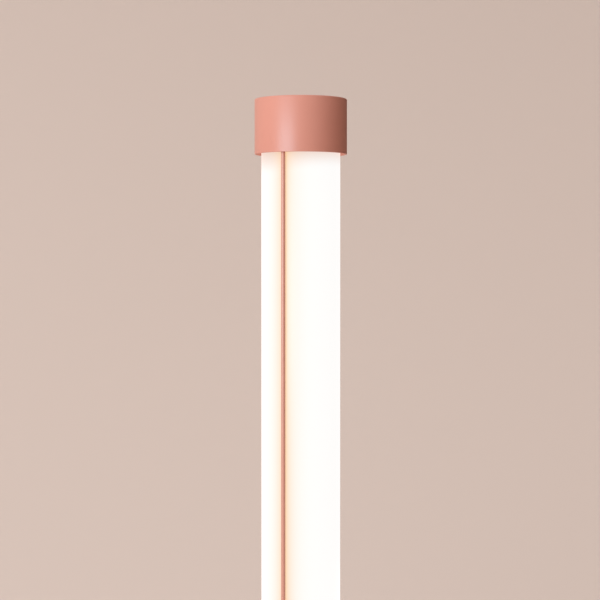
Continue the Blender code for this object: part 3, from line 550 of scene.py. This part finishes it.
# Cord gland
# Moulded in black nylon with ribs for the fingers, pushed through the back of the cup and held by
# a nut inside. The supply cord goes in here.
BLACK_NYLON = (0.030, 0.030, 0.032)
NYLON_ROUGHNESS = 0.48
FLOW_SIZE = 0.009
FLOW_STRETCH = (1, 1, 3)
PALE_GAIN = 1.05
PALE_LIFT = 0.004
MOULD_GRAIN = 0.0004
MOULD_RELIEF = 0.00004
MOULD_SPREAD = 0.10                  # of the roughness, about its middle
GLAND_BORE = 0.0033
GLAND_BARREL = 0.0050
GLAND_BACK = -0.0097
GLAND_RIM = 0.0072
GLAND_SHOULDER = 0.0020
GLAND_NOSE = 0.0060
NOSE_LIP = 0.0041
NOSE_ROUND = 0.0003
CROWN_DEGREES = range(30, 91, 10)
RIB = 0.00045
RIB_LOW = 0.0004
RIB_COUNT = 18
RIB_SIDES = 16


class Assembly(Nodes):
    """A Geometry Nodes tree with named inputs, whose result becomes a plain mesh."""

    def __init__(self, name):
        super().__init__(bpy.data.node_groups.new(name, "GeometryNodeTree"))
        self.tree.interface.new_socket("Geometry", in_out="OUTPUT",
                                       socket_type="NodeSocketGeometry")
        self.group_inputs = self.tree.nodes.new("NodeGroupInput")
        self.identifiers = {}

    def input(self, name, kind):
        """A named input of the tree."""
        made = self.tree.interface.new_socket(name, in_out="INPUT", socket_type=f"NodeSocket{kind}")
        self.identifiers[name] = made.identifier
        return Socket(self, self.group_inputs.outputs[name])

    def end(self, geometry):
        """Close the tree on its geometry."""
        real = self.node("GeometryNodeRealizeInstances", {}, {"Geometry": geometry})
        dressed = self.node("GeometryNodeSetMaterial", {},
                            {"Geometry": real, "Material": self.input("Material", "Material")})
        self.feed(self.tree.nodes.new("NodeGroupOutput").inputs["Geometry"], dressed)

    def mesh(self, **inputs):
        """The mesh that the tree makes of its inputs."""
        carrier = placed("carrier", bpy.data.meshes.new("carrier"))
        step = carrier.modifiers.new("tree", "NODES")
        step.node_group = self.tree
        for name, value in inputs.items():
            step[self.identifiers[name]] = value
        made = evaluated(carrier)
        bpy.data.objects.remove(carrier)
        return made


def ring_tree():
    """Copies of one shape in a ring about Z, each with its X outwards."""
    made = Assembly("ring_of_copies")
    shape = made.node("GeometryNodeObjectInfo", {}, {"Object": made.input("Shape", "Object")},
                      output="Geometry")
    circle = made.node("GeometryNodeMeshCircle", {}, {"Vertices": made.input("Count", "Int"),
                                                      "Radius": made.input("Radius", "Float")})
    turn = made.node("ShaderNodeCombineXYZ", {}, {"Z": made.input("Turn", "Float")})
    height = made.node("ShaderNodeCombineXYZ", {}, {"Z": made.input("Height", "Float")})
    ring = made.node("GeometryNodeTransform", {}, {"Geometry": circle, "Rotation": turn})
    outwards = made.node("FunctionNodeAlignRotationToVector", {"axis": "X", "pivot_axis": "Z"},
                         {"Vector": made.node("GeometryNodeInputPosition")})
    copies = made.node("GeometryNodeInstanceOnPoints", {},
                       {"Points": ring, "Instance": shape, "Rotation": outwards})
    made.end(made.node("GeometryNodeTransform", {}, {"Geometry": copies, "Translation": height}))
    return made


def in_a_ring(mesh, finish, count, radius, height=0.0, turn=0.0):
    """A mesh of that many copies of a shape in a ring."""
    shape = placed("shape", mesh)
    made = copies_in_a_ring.mesh(Shape=shape, Count=count, Radius=radius, Height=height, Turn=turn,
                                 Material=finish.material)
    bpy.data.objects.remove(shape)
    return made


def joined(*meshes):
    """One mesh of several."""
    shape = bmesh.new()
    for mesh in meshes:
        shape.from_mesh(mesh)
    return mesh_of(shape)


def moulding(name, colour, roughness):
    """Moulded plastic with the fine spark-eroded grain of its tool and faint flow marks."""
    made = Finish(name)
    flow = made.noise(FLOW_SIZE, detail=3, stretch=FLOW_STRETCH)
    grain = made.noise(MOULD_GRAIN)
    pale = [min(1.0, c * PALE_GAIN + PALE_LIFT) for c in colour]
    made.dress(Base_Color=made.mix(flow, colour, pale),
               Roughness=roughness - MOULD_SPREAD / 2 + MOULD_SPREAD * grain)
    made.bump(grain, MOULD_RELIEF, strength=0.5)
    return made


black_nylon = moulding("black_nylon_finish", BLACK_NYLON, NYLON_ROUGHNESS)
copies_in_a_ring = ring_tree()
crown_round = GLAND_RIM - GLAND_BARREL
crown = [(GLAND_BARREL + crown_round * math.sin(a), GLAND_SHOULDER + crown_round * math.cos(a), 0)
         for a in map(math.radians, CROWN_DEGREES)]
gland = turned([(NOSE_LIP, GLAND_NOSE, NOSE_ROUND), *crown, (GLAND_RIM, SEAT, 0),
                (GLAND_BARREL, SEAT, 0), (GLAND_BARREL, GLAND_BACK, 0), (GLAND_BORE, GLAND_BACK, 0),
                (GLAND_BORE, GLAND_NOSE, NOSE_ROUND)], sides=SMALL_SIDES, ring=True)
rib = turned([(0, GLAND_SHOULDER, 0), (RIB, GLAND_SHOULDER, RIB / 2), (RIB, RIB_LOW, RIB / 2),
              (0, RIB_LOW, 0)], sides=RIB_SIDES)
ribs = in_a_ring(rib, black_nylon, RIB_COUNT, GLAND_RIM)
ribs.transform(gland_place)
gland = joined(saddled(gland, SEAT, gland_place), ribs)
piece("ribbed_cord_gland", gland, black_nylon, "lamp", "black_nylon", "cord_gland")


# Inside the cup
# Hexagon pillars of zinc-plated bar carry the lower fitting. The terminal block, the switch's ring
# nut and brass blades, the gland's nut, the earth tag and the leads fill the space between them.
ZINC = (0.66, 0.66, 0.64)
BRASS = (0.78, 0.58, 0.27)
PLATED_ROUGHNESS = 0.30
TARNISH_SIZE = 0.006
TARNISH_GAIN = 0.86
WORKING_LINES = 0.0003
WORKING_RELIEF = 0.00003
SMOOTHER = 0.06                      # than the metal's roughness, where its lines are lowest
LINE_ROUGHNESS = 0.16
WHITE_PLASTIC = (0.80, 0.79, 0.76)
WHITE_ROUGHNESS = 0.42
WIRE_BROWN = (0.20, 0.085, 0.040)
WIRE_BLUE = (0.05, 0.14, 0.42)
EARTH_GREEN = (0.05, 0.25, 0.06)
EARTH_YELLOW = (0.72, 0.55, 0.04)
WIRE_ROUGHNESS = 0.40
STRIPE_WIDTH = 0.0009
STRIPE_SCALE = 0.3 / STRIPE_WIDTH    # in the Wave Texture's own measure
YELLOW_FROM = 0.6                    # the height of the wave where the green ends


def metal(name, colour, roughness, stretch=(1, 1, 1)):
    """Bare or plated metal with fine working lines and a little uneven tarnish."""
    made = Finish(name)
    tarnish = made.noise(TARNISH_SIZE, detail=4)
    lines = made.noise(WORKING_LINES, detail=3, stretch=stretch)
    dull = [c * TARNISH_GAIN for c in colour]
    made.dress(Base_Color=made.mix(tarnish, dull, colour), Metallic=1.0,
               Roughness=roughness - SMOOTHER + LINE_ROUGHNESS * lines)
    made.bump(lines, WORKING_RELIEF, strength=0.4)
    return made


def finish_nodes(finish, *names):
    """Give nodes whose shape is right their finish."""
    for name in names:
        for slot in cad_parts[name].material_slots:
            slot.material = finish.material


zinc = metal("zinc_plate", ZINC, PLATED_ROUGHNESS)
brass = metal("stamped_brass", BRASS, PLATED_ROUGHNESS)
white_plastic = moulding("white_moulding", WHITE_PLASTIC, WHITE_ROUGHNESS)
brown_insulation = moulding("brown_insulation_finish", WIRE_BROWN, WIRE_ROUGHNESS)
blue_insulation = moulding("blue_insulation_finish", WIRE_BLUE, WIRE_ROUGHNESS)
earth_insulation = Finish("earth_insulation_finish")
stripes = earth_insulation.node("ShaderNodeTexWave", {"bands_direction": "DIAGONAL"},
                                {"Vector": earth_insulation.place, "Scale": STRIPE_SCALE})
yellow = earth_insulation.math("GREATER_THAN", stripes, YELLOW_FROM)
earth_insulation.dress(Base_Color=earth_insulation.mix(yellow, EARTH_GREEN, EARTH_YELLOW),
                       Roughness=WIRE_ROUGHNESS)
finish_nodes(zinc, "pillar_1", "pillar_2", "pillar_3", "switch_nut")
finish_nodes(brass, "switch_blade_1", "switch_blade_2", "earth_tag")
finish_nodes(black_nylon, "gland_nut")
finish_nodes(white_plastic, "terminal_block")
finish_nodes(brown_insulation, "live_wire", "feed_wire")
finish_nodes(blue_insulation, "neutral_wire")
finish_nodes(earth_insulation, "earth_wire")


# End fittings
# One moulding in white plastic, used both ways up: a spigot in the tube, a slot and a notch for the
# bent end of the conduit, a groove with a rubber O-ring that the shell slides on, and a silicone
# gasket between it and the tube's end.
SILICONE = (0.62, 0.61, 0.59)
FITTING = 0.0335
FITTING_ROUND = 0.0004
FITTING_BORE = 0.0175
FLANGE = 0.0120
GROOVE = 0.0315
GROOVE_LOW = 0.0084
GROOVE_HIGH = 0.0106
LIP_ROUND = 0.0002
SPIGOT = 0.0272
SPIGOT_BORE = 0.0245
SPIGOT_LENGTH = 0.0120
SPIGOT_ROUND = 0.0006
SLOT_HALF = 0.0019
SLOT_LOW = 0.0018
SLOT_HIGH = 0.0069
NOTCH_REACH = 0.0210
O_RING_SECTION = 0.0009
O_RING_AXIS = 0.0327
O_RING_STEPS = 20
GASKET_ROUND = 0.0002


def block(low, high):
    """A box between two corners."""
    low, high = Vector(low), Vector(high)
    shape = bmesh.new()
    size = Matrix.Diagonal((*(high - low), 1))
    bmesh.ops.create_cube(shape, size=1, matrix=Matrix.Translation((low + high) / 2) @ size)
    return mesh_of(shape)


silicone = rubber("silicone_finish", SILICONE)
fitting_corners = [(FITTING, FLANGE, FITTING_ROUND), (FITTING, GROOVE_HIGH, LIP_ROUND),
                   (GROOVE, GROOVE_HIGH, 0), (GROOVE, GROOVE_LOW, 0),
                   (FITTING, GROOVE_LOW, LIP_ROUND), (FITTING, 0, LIP_ROUND), (SPIGOT, 0, 0),
                   (SPIGOT, -SPIGOT_LENGTH, SPIGOT_ROUND),
                   (SPIGOT_BORE, -SPIGOT_LENGTH, SPIGOT_ROUND), (SPIGOT_BORE, 0, 0),
                   (FITTING_BORE, 0, LIP_ROUND), (FITTING_BORE, FLANGE, FITTING_ROUND)]
ring_angles = [2 * math.pi * i / O_RING_STEPS for i in range(O_RING_STEPS)]
ring_height = (GROOVE_LOW + GROOVE_HIGH) / 2
ring_circle = [(O_RING_AXIS + O_RING_SECTION * math.cos(a),
                ring_height - O_RING_SECTION * math.sin(a), 0) for a in ring_angles]
gasket_bore = SPIGOT + SEAT
upper_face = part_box("upper_fitting")[0].z + SPIGOT_LENGTH
lower_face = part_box("lower_fitting")[1].z - SPIGOT_LENGTH
upside = Matrix.Translation((0, 0, upper_face))
downside = Matrix.Translation((0, 0, lower_face)) @ Matrix.Rotation(math.pi, 4, "Y")
upper_spots = spots("upper_holder_screw")
for end, place in (("lower", downside), ("upper", upside)):
    mouth = block((-SLOT_HALF, -shell, -SEAT), (SLOT_HALF, -SPIGOT - SEAT, SLOT_HIGH))
    slot = block((-SLOT_HALF, -FITTING + SEAT, SLOT_LOW), (SLOT_HALF, 0, SLOT_HIGH))
    notch = block((-SLOT_HALF, -NOTCH_REACH, -SEAT), (SLOT_HALF, 0, FLANGE + THROUGH))
    holes = [drill(SCREW_HOLE, -THROUGH, FLANGE + THROUGH, spot) for spot in upper_spots]
    fitting = turned(fitting_corners, sides=SHELL_SIDES, ring=True)
    fitting = bored(fitting, mouth, slot, notch, *holes)
    fitting.transform(place)
    piece(f"{end}_end_fitting", fitting, white_plastic, "lamp", "white_plastic", f"{end}_fitting")
    o_ring = turned(ring_circle, sides=SHELL_SIDES, ring=True, place=place)
    piece(f"{end}_rubber_ring", o_ring, black_rubber, "lamp", "black_rubber", f"{end}_o_ring")
    low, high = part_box(f"{end}_gasket")
    gasket = turned([(high.x, high.z, GASKET_ROUND), (high.x, low.z, GASKET_ROUND),
                     (gasket_bore, low.z, GASKET_ROUND), (gasket_bore, high.z, GASKET_ROUND)],
                    ring=True)
    piece(f"{end}_silicone_gasket", gasket, silicone, "lamp", "silicone", f"{end}_gasket")


# Lampholders
# Moulded in white plastic. The lower one is fixed and takes the lamp's pins in two holes. The upper
# one is a plunger in a flanged housing with gussets, and follows the lamp's pins under its spring.
HOLDER = 0.0145
HOLDER_FLANGE = 0.0241
HOLDER_FLANGE_ROUND = 0.0003
HOLDER_ROUND = 0.0008
FLANGE_FILLET = 0.0006
FLANGE_HEIGHT = 0.0020
HOUSING_BORE = 0.0123
HOUSING_LIP = 0.0108
HOUSING_LIP_TOP = 0.0020
HOUSING_ROOF = 0.0015
PLUNGER = 0.0105
PLUNGER_COLLAR = 0.0120
COLLAR_HEIGHT = 0.0025
PLUNGER_ROUND = 0.0004
PIN_SPACING = 0.0127
PIN_HOLE = 0.0015
PIN_DEPTH = 0.0070
FEED_HOLE = 0.00095
CONDUIT_ENTRY = 0.0050
GUSSET_LENGTH = 0.0060
GUSSET_HEIGHT = 0.0038
GUSSET_HALF = 0.0006
GUSSET_SINK = 0.0004
GUSSET_COUNT = 6
GUSSET_TURN = math.radians(30)


def flanged_top(top, flange):
    """The outline's corners from a holder's top down to the underside of its flange."""
    return [(0, top, 0), (HOLDER, top, HOLDER_ROUND),
            (HOLDER, flange + FLANGE_HEIGHT, FLANGE_FILLET),
            (HOLDER_FLANGE, flange + FLANGE_HEIGHT, HOLDER_FLANGE_ROUND),
            (HOLDER_FLANGE, flange, HOLDER_FLANGE_ROUND), (HOLDER, flange, 0)]


def flange_holes(flange, axes):
    """Drills for the screws through a holder's flange."""
    return [drill(SCREW_HOLE, flange - THROUGH, flange + FLANGE_HEIGHT + THROUGH, axis)
            for axis in axes]


pins = [Matrix.Translation((side * PIN_SPACING / 2, 0, 0)) for side in (-1, 1)]
low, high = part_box("lower_lampholder")
flange = lower_face + SEAT
holder = turned([*flanged_top(high.z, flange), (HOLDER, low.z, HOLDER_ROUND), (0, low.z, 0)],
                sides=SMALL_SIDES)
holes = [drill(PIN_HOLE, high.z - PIN_DEPTH, high.z + THROUGH, pin) for pin in pins]
holder = bored(holder, *holes, *flange_holes(flange, spots("lower_holder_screw")))
piece("fixed_lampholder", holder, white_plastic, "lamp", "white_plastic", "lower_lampholder")

low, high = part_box("upper_lampholder_housing")
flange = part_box("upper_fitting")[1].z + SEAT
lip_top = low.z + HOUSING_LIP_TOP
roof = high.z - HOUSING_ROOF
housing = turned([*flanged_top(high.z, flange), (HOLDER, low.z, PLUNGER_ROUND),
                  (HOUSING_LIP, low.z, PLUNGER_ROUND), (HOUSING_LIP, lip_top, 0),
                  (HOUSING_BORE, lip_top, 0), (HOUSING_BORE, roof, 0), (0, roof, 0)],
                 sides=SMALL_SIDES)
entry = Matrix.Translation((0, 0, upper_face + CONDUIT_ENTRY))
feed_hole = drill(FEED_HOLE, 0, HOLDER + THROUGH, entry @ Matrix.Rotation(math.pi / 2, 4, "X"))
gusset = bpy.data.meshes.new("gusset")
side_view = [(-GUSSET_SINK, -GUSSET_SINK), (GUSSET_LENGTH, -GUSSET_SINK),
             (GUSSET_LENGTH, GUSSET_SINK), (GUSSET_SINK, GUSSET_HEIGHT),
             (-GUSSET_SINK, GUSSET_HEIGHT)]
gusset_points = [(x, y, z) for y in (-GUSSET_HALF, GUSSET_HALF) for x, z in side_view]
gusset_rim = [(i, i + 5, (i + 1) % 5 + 5, (i + 1) % 5) for i in range(5)]
gusset.from_pydata(gusset_points, [], [(0, 1, 2, 3, 4), (9, 8, 7, 6, 5), *gusset_rim])
gussets = in_a_ring(gusset, white_plastic, GUSSET_COUNT, HOLDER, flange + FLANGE_HEIGHT,
                    GUSSET_TURN)
housing = joined(bored(housing, feed_hole, *flange_holes(flange, upper_spots)), gussets)
piece("sprung_lampholder_housing", housing, white_plastic, "lamp", "white_plastic",
      "upper_lampholder_housing")

low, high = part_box("upper_lampholder_plunger")
collar = high.z - COLLAR_HEIGHT
plunger = turned([(0, high.z, 0), (PLUNGER_COLLAR, high.z, PLUNGER_ROUND),
                  (PLUNGER_COLLAR, collar, PLUNGER_ROUND), (PLUNGER, collar, 0),
                  (PLUNGER, low.z, HOLDER_ROUND), (0, low.z, 0)], sides=SMALL_SIDES)
holes = [drill(PIN_HOLE, low.z - THROUGH, low.z + PIN_DEPTH, pin) for pin in pins]
piece("lampholder_contact_plunger", bored(plunger, *holes), white_plastic, "plunger",
      "white_plastic", "upper_lampholder_plunger")


# Lampholder spring
# One coil of drawn spring wire between the plunger and the housing's roof. It shortens as the
# plunger goes up.
SPRING_STEEL = (0.52, 0.52, 0.53)
SPRING_ROUGHNESS = 0.28
SPRING_WIRE = 0.0004
SPRING_TURNS = 3.5
SPRING_RADIUS = 0.0093
STEPS_PER_TURN = 40
SPRING_WIRE_SIDES = 16


def coil_tree():
    """A wire that climbs round Z."""
    made = Assembly("coiled_wire")
    radius = made.input("Radius", "Float")
    route = made.node("GeometryNodeCurveSpiral", {},
                      {"Resolution": STEPS_PER_TURN, "Rotations": made.input("Turns", "Float"),
                       "Start Radius": radius, "End Radius": radius,
                       "Height": made.input("Rise", "Float")})
    section = made.node("GeometryNodeCurvePrimitiveCircle", {},
                        {"Resolution": SPRING_WIRE_SIDES, "Radius": made.input("Wire", "Float")})
    made.end(made.node("GeometryNodeCurveToMesh", {},
                       {"Curve": route, "Profile Curve": section, "Fill Caps": True}))
    return made


spring_steel = metal("drawn_spring_wire", SPRING_STEEL, SPRING_ROUGHNESS)
low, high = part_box("lampholder_spring")
spring = coil_tree().mesh(Radius=SPRING_RADIUS, Turns=SPRING_TURNS, Wire=SPRING_WIRE,
                          Rise=high.z - low.z - 2 * SPRING_WIRE, Material=spring_steel.material)
spring.transform(Matrix.Translation((0, 0, low.z + SPRING_WIRE)))
spring = piece("coil_spring", spring, spring_steel, "lamp", "spring_steel", "lampholder_spring")
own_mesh(spring)


# Screws
# Zinc-plated pan-head machine screws with a cross recess: three up through the foot plate into the
# pillars, three down through each lampholder's flange.
HEAD = 0.00275
HEAD_HEIGHT = 0.0020
HEAD_CROWN = 0.0008
HEAD_UNDER = 0.0001
SHANK = 0.0015
SHANK_TIP = 0.0004
CROSS_REACH = 0.0015
CROSS_HALF = 0.00035
CROSS_DEPTH = 0.0011
SCREW_SIDES = 48

for name, upwards in (("foot_screw", True), ("lower_holder_screw", False),
                      ("upper_holder_screw", False)):
    low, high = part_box(f"{name}_1")
    length = high.z - low.z - HEAD_HEIGHT
    screw = turned([(0, HEAD_HEIGHT, 0), (HEAD, HEAD_HEIGHT, HEAD_CROWN), (HEAD, 0, HEAD_UNDER),
                    (SHANK, 0, 0), (SHANK, -length, SHANK_TIP), (0, -length, 0)],
                   sides=SCREW_SIDES)
    cross = [block((-reach, -half, HEAD_HEIGHT - CROSS_DEPTH), (reach, half, HEAD_HEIGHT + THROUGH))
             for reach, half in ((CROSS_REACH, CROSS_HALF), (CROSS_HALF, CROSS_REACH))]
    screw = bored(screw, *cross)
    seat = high.z - HEAD_HEIGHT
    if upwards:
        screw.transform(Matrix.Rotation(math.pi, 4, "X"))
        seat = low.z + HEAD_HEIGHT
    first = spots(name)[0].translation
    screws = in_a_ring(screw, zinc, len(SCREW_NUMBERS), first.length, seat,
                       math.atan2(first.y, first.x))
    piece(f"{name}s", screws, zinc, "lamp", "zinc_steel", *(f"{name}_{i}" for i in SCREW_NUMBERS))


# LED lamp
# A two-foot lamp: a frosted glass bulb between two drawn aluminium caps with riveted brass pins,
# and a white board with a row of LEDs in it. The two lampholders carry it by its pins.
CLEAR_FROST = (0.88, 0.89, 0.88)
WHITE_FROST = (0.93, 0.94, 0.93)
FROST_SIZE = 0.0005
FROST_RELIEF = 0.00003
GLASS_ROUGHNESS = 0.40
FROST_ROUGHNESS = 0.15
ALUMINIUM = (0.82, 0.82, 0.82)
ALUMINIUM_ROUGHNESS = 0.34
DRAWING_STRETCH = (1, 1, 30)
SOLDER_MASK = (0.84, 0.84, 0.80)
MASK_ROUGHNESS = 0.38
GLASS_WALL = 0.0010
GLASS_ROUND = 0.0004
LAMP_CAP_WALL = 0.0006
LAMP_CAP_END = 0.0015
LAMP_CAP_ROUND = 0.0012
LAMP_CAP_EDGE = 0.0002
PIN = 0.0012
PIN_TIP = 0.0007
PIN_SIDES = 32
RIVET = 0.0023
RIVET_HEIGHT = 0.0010
RIVET_ROUND = 0.0003

frosted_glass = Finish("frosted_glass_finish")
frost = frosted_glass.noise(FROST_SIZE, detail=3)
frosted_glass.dress(Base_Color=frosted_glass.mix(frost, CLEAR_FROST, WHITE_FROST),
                    Roughness=GLASS_ROUGHNESS + FROST_ROUGHNESS * frost)
frosted_glass.bump(frost, FROST_RELIEF, strength=0.4)
aluminium = metal("drawn_aluminium", ALUMINIUM, ALUMINIUM_ROUGHNESS, DRAWING_STRETCH)
board_white = moulding("white_solder_mask", SOLDER_MASK, MASK_ROUGHNESS)

low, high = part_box("lamp_bulb")
inner = high.x - GLASS_WALL
bulb = turned([(high.x, high.z, GLASS_ROUND), (high.x, low.z, GLASS_ROUND),
               (inner, low.z, GLASS_ROUND), (inner, high.z, GLASS_ROUND)],
              sides=SMALL_SIDES, ring=True)
piece("frosted_lamp_bulb", bulb, frosted_glass, "lamp", "frosted_glass", "lamp_bulb")
for end in ("lower", "upper"):
    low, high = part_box(f"lamp_{end}_cap")
    pin_low, pin_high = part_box(f"lamp_{end}_pin_1")
    place = Matrix.Translation((0, 0, high.z))
    length = pin_high.z - high.z
    if end == "lower":
        place = Matrix.Translation((0, 0, low.z)) @ Matrix.Rotation(math.pi, 4, "X")
        length = low.z - pin_low.z
    skirt = low.z - high.z
    inner = high.x - LAMP_CAP_WALL
    lamp_cap = turned([(0, 0, 0), (high.x, 0, LAMP_CAP_ROUND), (high.x, skirt, LAMP_CAP_EDGE),
                       (inner, skirt, LAMP_CAP_EDGE), (inner, -LAMP_CAP_END, LAMP_CAP_EDGE),
                       (0, -LAMP_CAP_END, 0)], sides=SMALL_SIDES)
    holes = [drill(PIN_HOLE, -2 * LAMP_CAP_END, THROUGH, pin) for pin in pins]
    lamp_cap = bored(lamp_cap, *holes)
    lamp_cap.transform(place)
    piece(f"drawn_{end}_lamp_cap", lamp_cap, aluminium, "lamp", "lamp_aluminium",
          f"lamp_{end}_cap")
    rivet_top = -LAMP_CAP_END - SEAT
    rivet_low = rivet_top - RIVET_HEIGHT
    stems = [turned([(0, length, 0), (PIN, length, PIN_TIP), (PIN, rivet_top, 0),
                     (RIVET, rivet_top, 0), (RIVET, rivet_low, RIVET_ROUND), (0, rivet_low, 0)],
                    sides=PIN_SIDES, place=place @ pin) for pin in pins]
    piece(f"riveted_{end}_lamp_pins", joined(*stems), brass, "lamp", "brass",
          f"lamp_{end}_pin_1", f"lamp_{end}_pin_2")
finish_nodes(board_white, "led_board")


# Opal tube
# Extruded opal acrylic, polished, with its sawn ends rounded. The lamp inside lights it evenly, and
# a little less where its ends go into the cap and the cup, with painted shade from the rims added
# there, deeper on the left. A warm band beside the conduit is its painted reflection and shade.
OPAL = (0.08, 0.08, 0.08)
OPAL_ROUGHNESS = 0.28
OPAL_SPECULAR = 0.25
DRAW_LINES = 0.004
DRAW_STRETCH = (1, 1, 20)
DRAW_RELIEF = 0.00002
DRAW_ROUGHNESS = 0.06
FULL_GLOW = (0.955, 0.95, 0.94)
# The dim warm end colour is partly the lamp's weaker light and partly painted shade under the rims.
END_GLOW_AND_SHADE = (0.81, 0.665, 0.595)
GLOW_STRENGTH = 1.0
FADE_LENGTH = 0.0155                 # from a rim to the full glow
FADE_PAST_RIM = 0.0015
# The painted shade under the rims reaches further on the left.
RIM_SHADE_LEAN = 0.13                     # the fade goes further on the left
# A warm band painted into the glow beside the conduit: its painted reflection and shade.
CONDUIT_PAINTED_REFLECTION = (0.91, 0.57, 0.29)
PAINTED_REFLECTION_REACH = 0.0062
TUBE_WALL = 0.0025
END_ROUND = 0.0004

opal = Finish("opal_acrylic_finish")
across, depth, along = [opal.node("ShaderNodeSeparateXYZ", {}, {"Vector": opal.place}, output=axis)
                        for axis in "XYZ"]
# Masks from each rim to the full glow, leaning so that the painted shade goes deeper on the left.
from_cap = opal.node("ShaderNodeMapRange", {"interpolation_type": "SMOOTHSTEP"},
                     {"Value": along - RIM_SHADE_LEAN * across, "From Min": cap_low.z + FADE_PAST_RIM,
                      "From Max": cap_low.z - FADE_LENGTH})
from_cup = opal.node("ShaderNodeMapRange", {"interpolation_type": "SMOOTHSTEP"},
                     {"Value": along + RIM_SHADE_LEAN * across, "From Min": cup_high.z - FADE_PAST_RIM,
                      "From Max": cup_high.z + FADE_LENGTH})
# The painted reflection and shade fade away from the conduit's line, on the front half only.
conduit_reflection_mask = opal.math("EXPONENT", opal.math("ABSOLUTE", across) * (-1 / PAINTED_REFLECTION_REACH))
conduit_reflection_mask = conduit_reflection_mask * opal.math("LESS_THAN", depth, 0)
lines = opal.noise(DRAW_LINES, stretch=DRAW_STRETCH)
# The glow fades to the end colour at each rim: partly the lamp's own fall-off, partly painted
# shade.
glow_and_painted_shade = opal.mix(from_cap * from_cup, END_GLOW_AND_SHADE, FULL_GLOW)
opal.dress(Base_Color=(*OPAL, 1), Roughness=OPAL_ROUGHNESS + DRAW_ROUGHNESS * lines,
           Specular_IOR_Level=OPAL_SPECULAR, Emission_Color=opal.mix(conduit_reflection_mask, glow_and_painted_shade, CONDUIT_PAINTED_REFLECTION),
           Emission_Strength=GLOW_STRENGTH)
opal.bump(lines, DRAW_RELIEF, strength=0.3)
low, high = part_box("diffuser_tube")
inner = high.x - TUBE_WALL
tube = turned([(high.x, high.z, END_ROUND), (high.x, low.z, END_ROUND), (inner, low.z, END_ROUND),
               (inner, high.z, END_ROUND)], sides=SHELL_SIDES, ring=True)
piece("opal_diffuser_tube", tube, opal, "lamp", "opal_acrylic", "diffuser_tube")


# Feed conduit
# A thin steel tube, bent in at both ends like a staple so that it hooks in the two fittings, and
# coated a shade paler than the shells. The feed wire to the upper lampholder runs in it.
CONDUIT_DEEP_PINK = (0.70, 0.330, 0.246)
CONDUIT_PALE_PINK = (0.73, 0.352, 0.266)
CONDUIT = 0.0016
CONDUIT_BORE = 0.00095
CONDUIT_BEND = 0.0060
CONDUIT_END = 0.0210
BEND_STEPS = 16
CONDUIT_SIDES = 32


def conduit_tree():
    """A bent tube along the straight legs of a route, rounded at their corners."""
    made = Assembly("bent_conduit")
    legs = made.node("GeometryNodeObjectInfo", {}, {"Object": made.input("Route", "Object")},
                     output="Geometry")
    line = made.node("GeometryNodeMeshToCurve", {}, {"Mesh": legs})
    bent = made.node("GeometryNodeFilletCurve", {"mode": "POLY"},
                     {"Curve": line, "Count": BEND_STEPS, "Radius": made.input("Bend", "Float")})
    section = made.node("GeometryNodeCurvePrimitiveCircle", {},
                        {"Resolution": CONDUIT_SIDES, "Radius": made.input("Radius", "Float")})
    made.end(made.node("GeometryNodeCurveToMesh", {}, {"Curve": bent, "Profile Curve": section}))
    return made


conduit_coat = powder_coat("conduit_powder_coat", CONDUIT_DEEP_PINK, CONDUIT_PALE_PINK)
low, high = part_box("feed_conduit")
reach = low.y + CONDUIT
feet = low.z + CONDUIT, high.z - CONDUIT
legs = [(0, -CONDUIT_END, feet[0]), (0, reach, feet[0]), (0, reach, feet[1]),
        (0, -CONDUIT_END, feet[1])]
route = placed("route", bpy.data.meshes.new("route"))
route.data.from_pydata(legs, [(0, 1), (1, 2), (2, 3)], [])
tree = conduit_tree()
outside, inside = [tree.mesh(Route=route, Bend=CONDUIT_BEND, Radius=radius,
                             Material=conduit_coat.material) for radius in (CONDUIT, CONDUIT_BORE)]
inside.flip_normals()
bpy.data.objects.remove(route)
shape = bmesh.new()
shape.from_mesh(outside)
shape.from_mesh(inside)
for foot in feet:
    rims = [edge for edge in shape.edges
            if edge.is_boundary and abs(edge.verts[0].co.z - foot) < 2 * CONDUIT]
    bmesh.ops.bridge_loops(shape, edges=rims)
bmesh.ops.recalc_face_normals(shape, faces=shape.faces)
piece("bent_feed_conduit", mesh_of(shape), conduit_coat, "lamp", "pink_coat", "feed_conduit")


# Top cap
# Spun from sheet steel with a nearly sharp corner, deburred at its rim and powder coated. It is a
# push fit on the O-ring of the upper fitting, and lifts off.
CAP_ROOF = 0.0015

roof = cap_high.z - CAP_ROOF
cap = turned([(0, cap_high.z, 0), (shell, cap_high.z, SHELL_CORNER), (shell, cap_low.z, RIM_ROUND),
              (bore, cap_low.z, RIM_ROUND), (bore, roof, INNER_CORNER), (0, roof, 0)],
             sides=SHELL_SIDES)
piece("spun_top_cap", cap, pink_coat, "cap", "pink_coat", "top_cap")
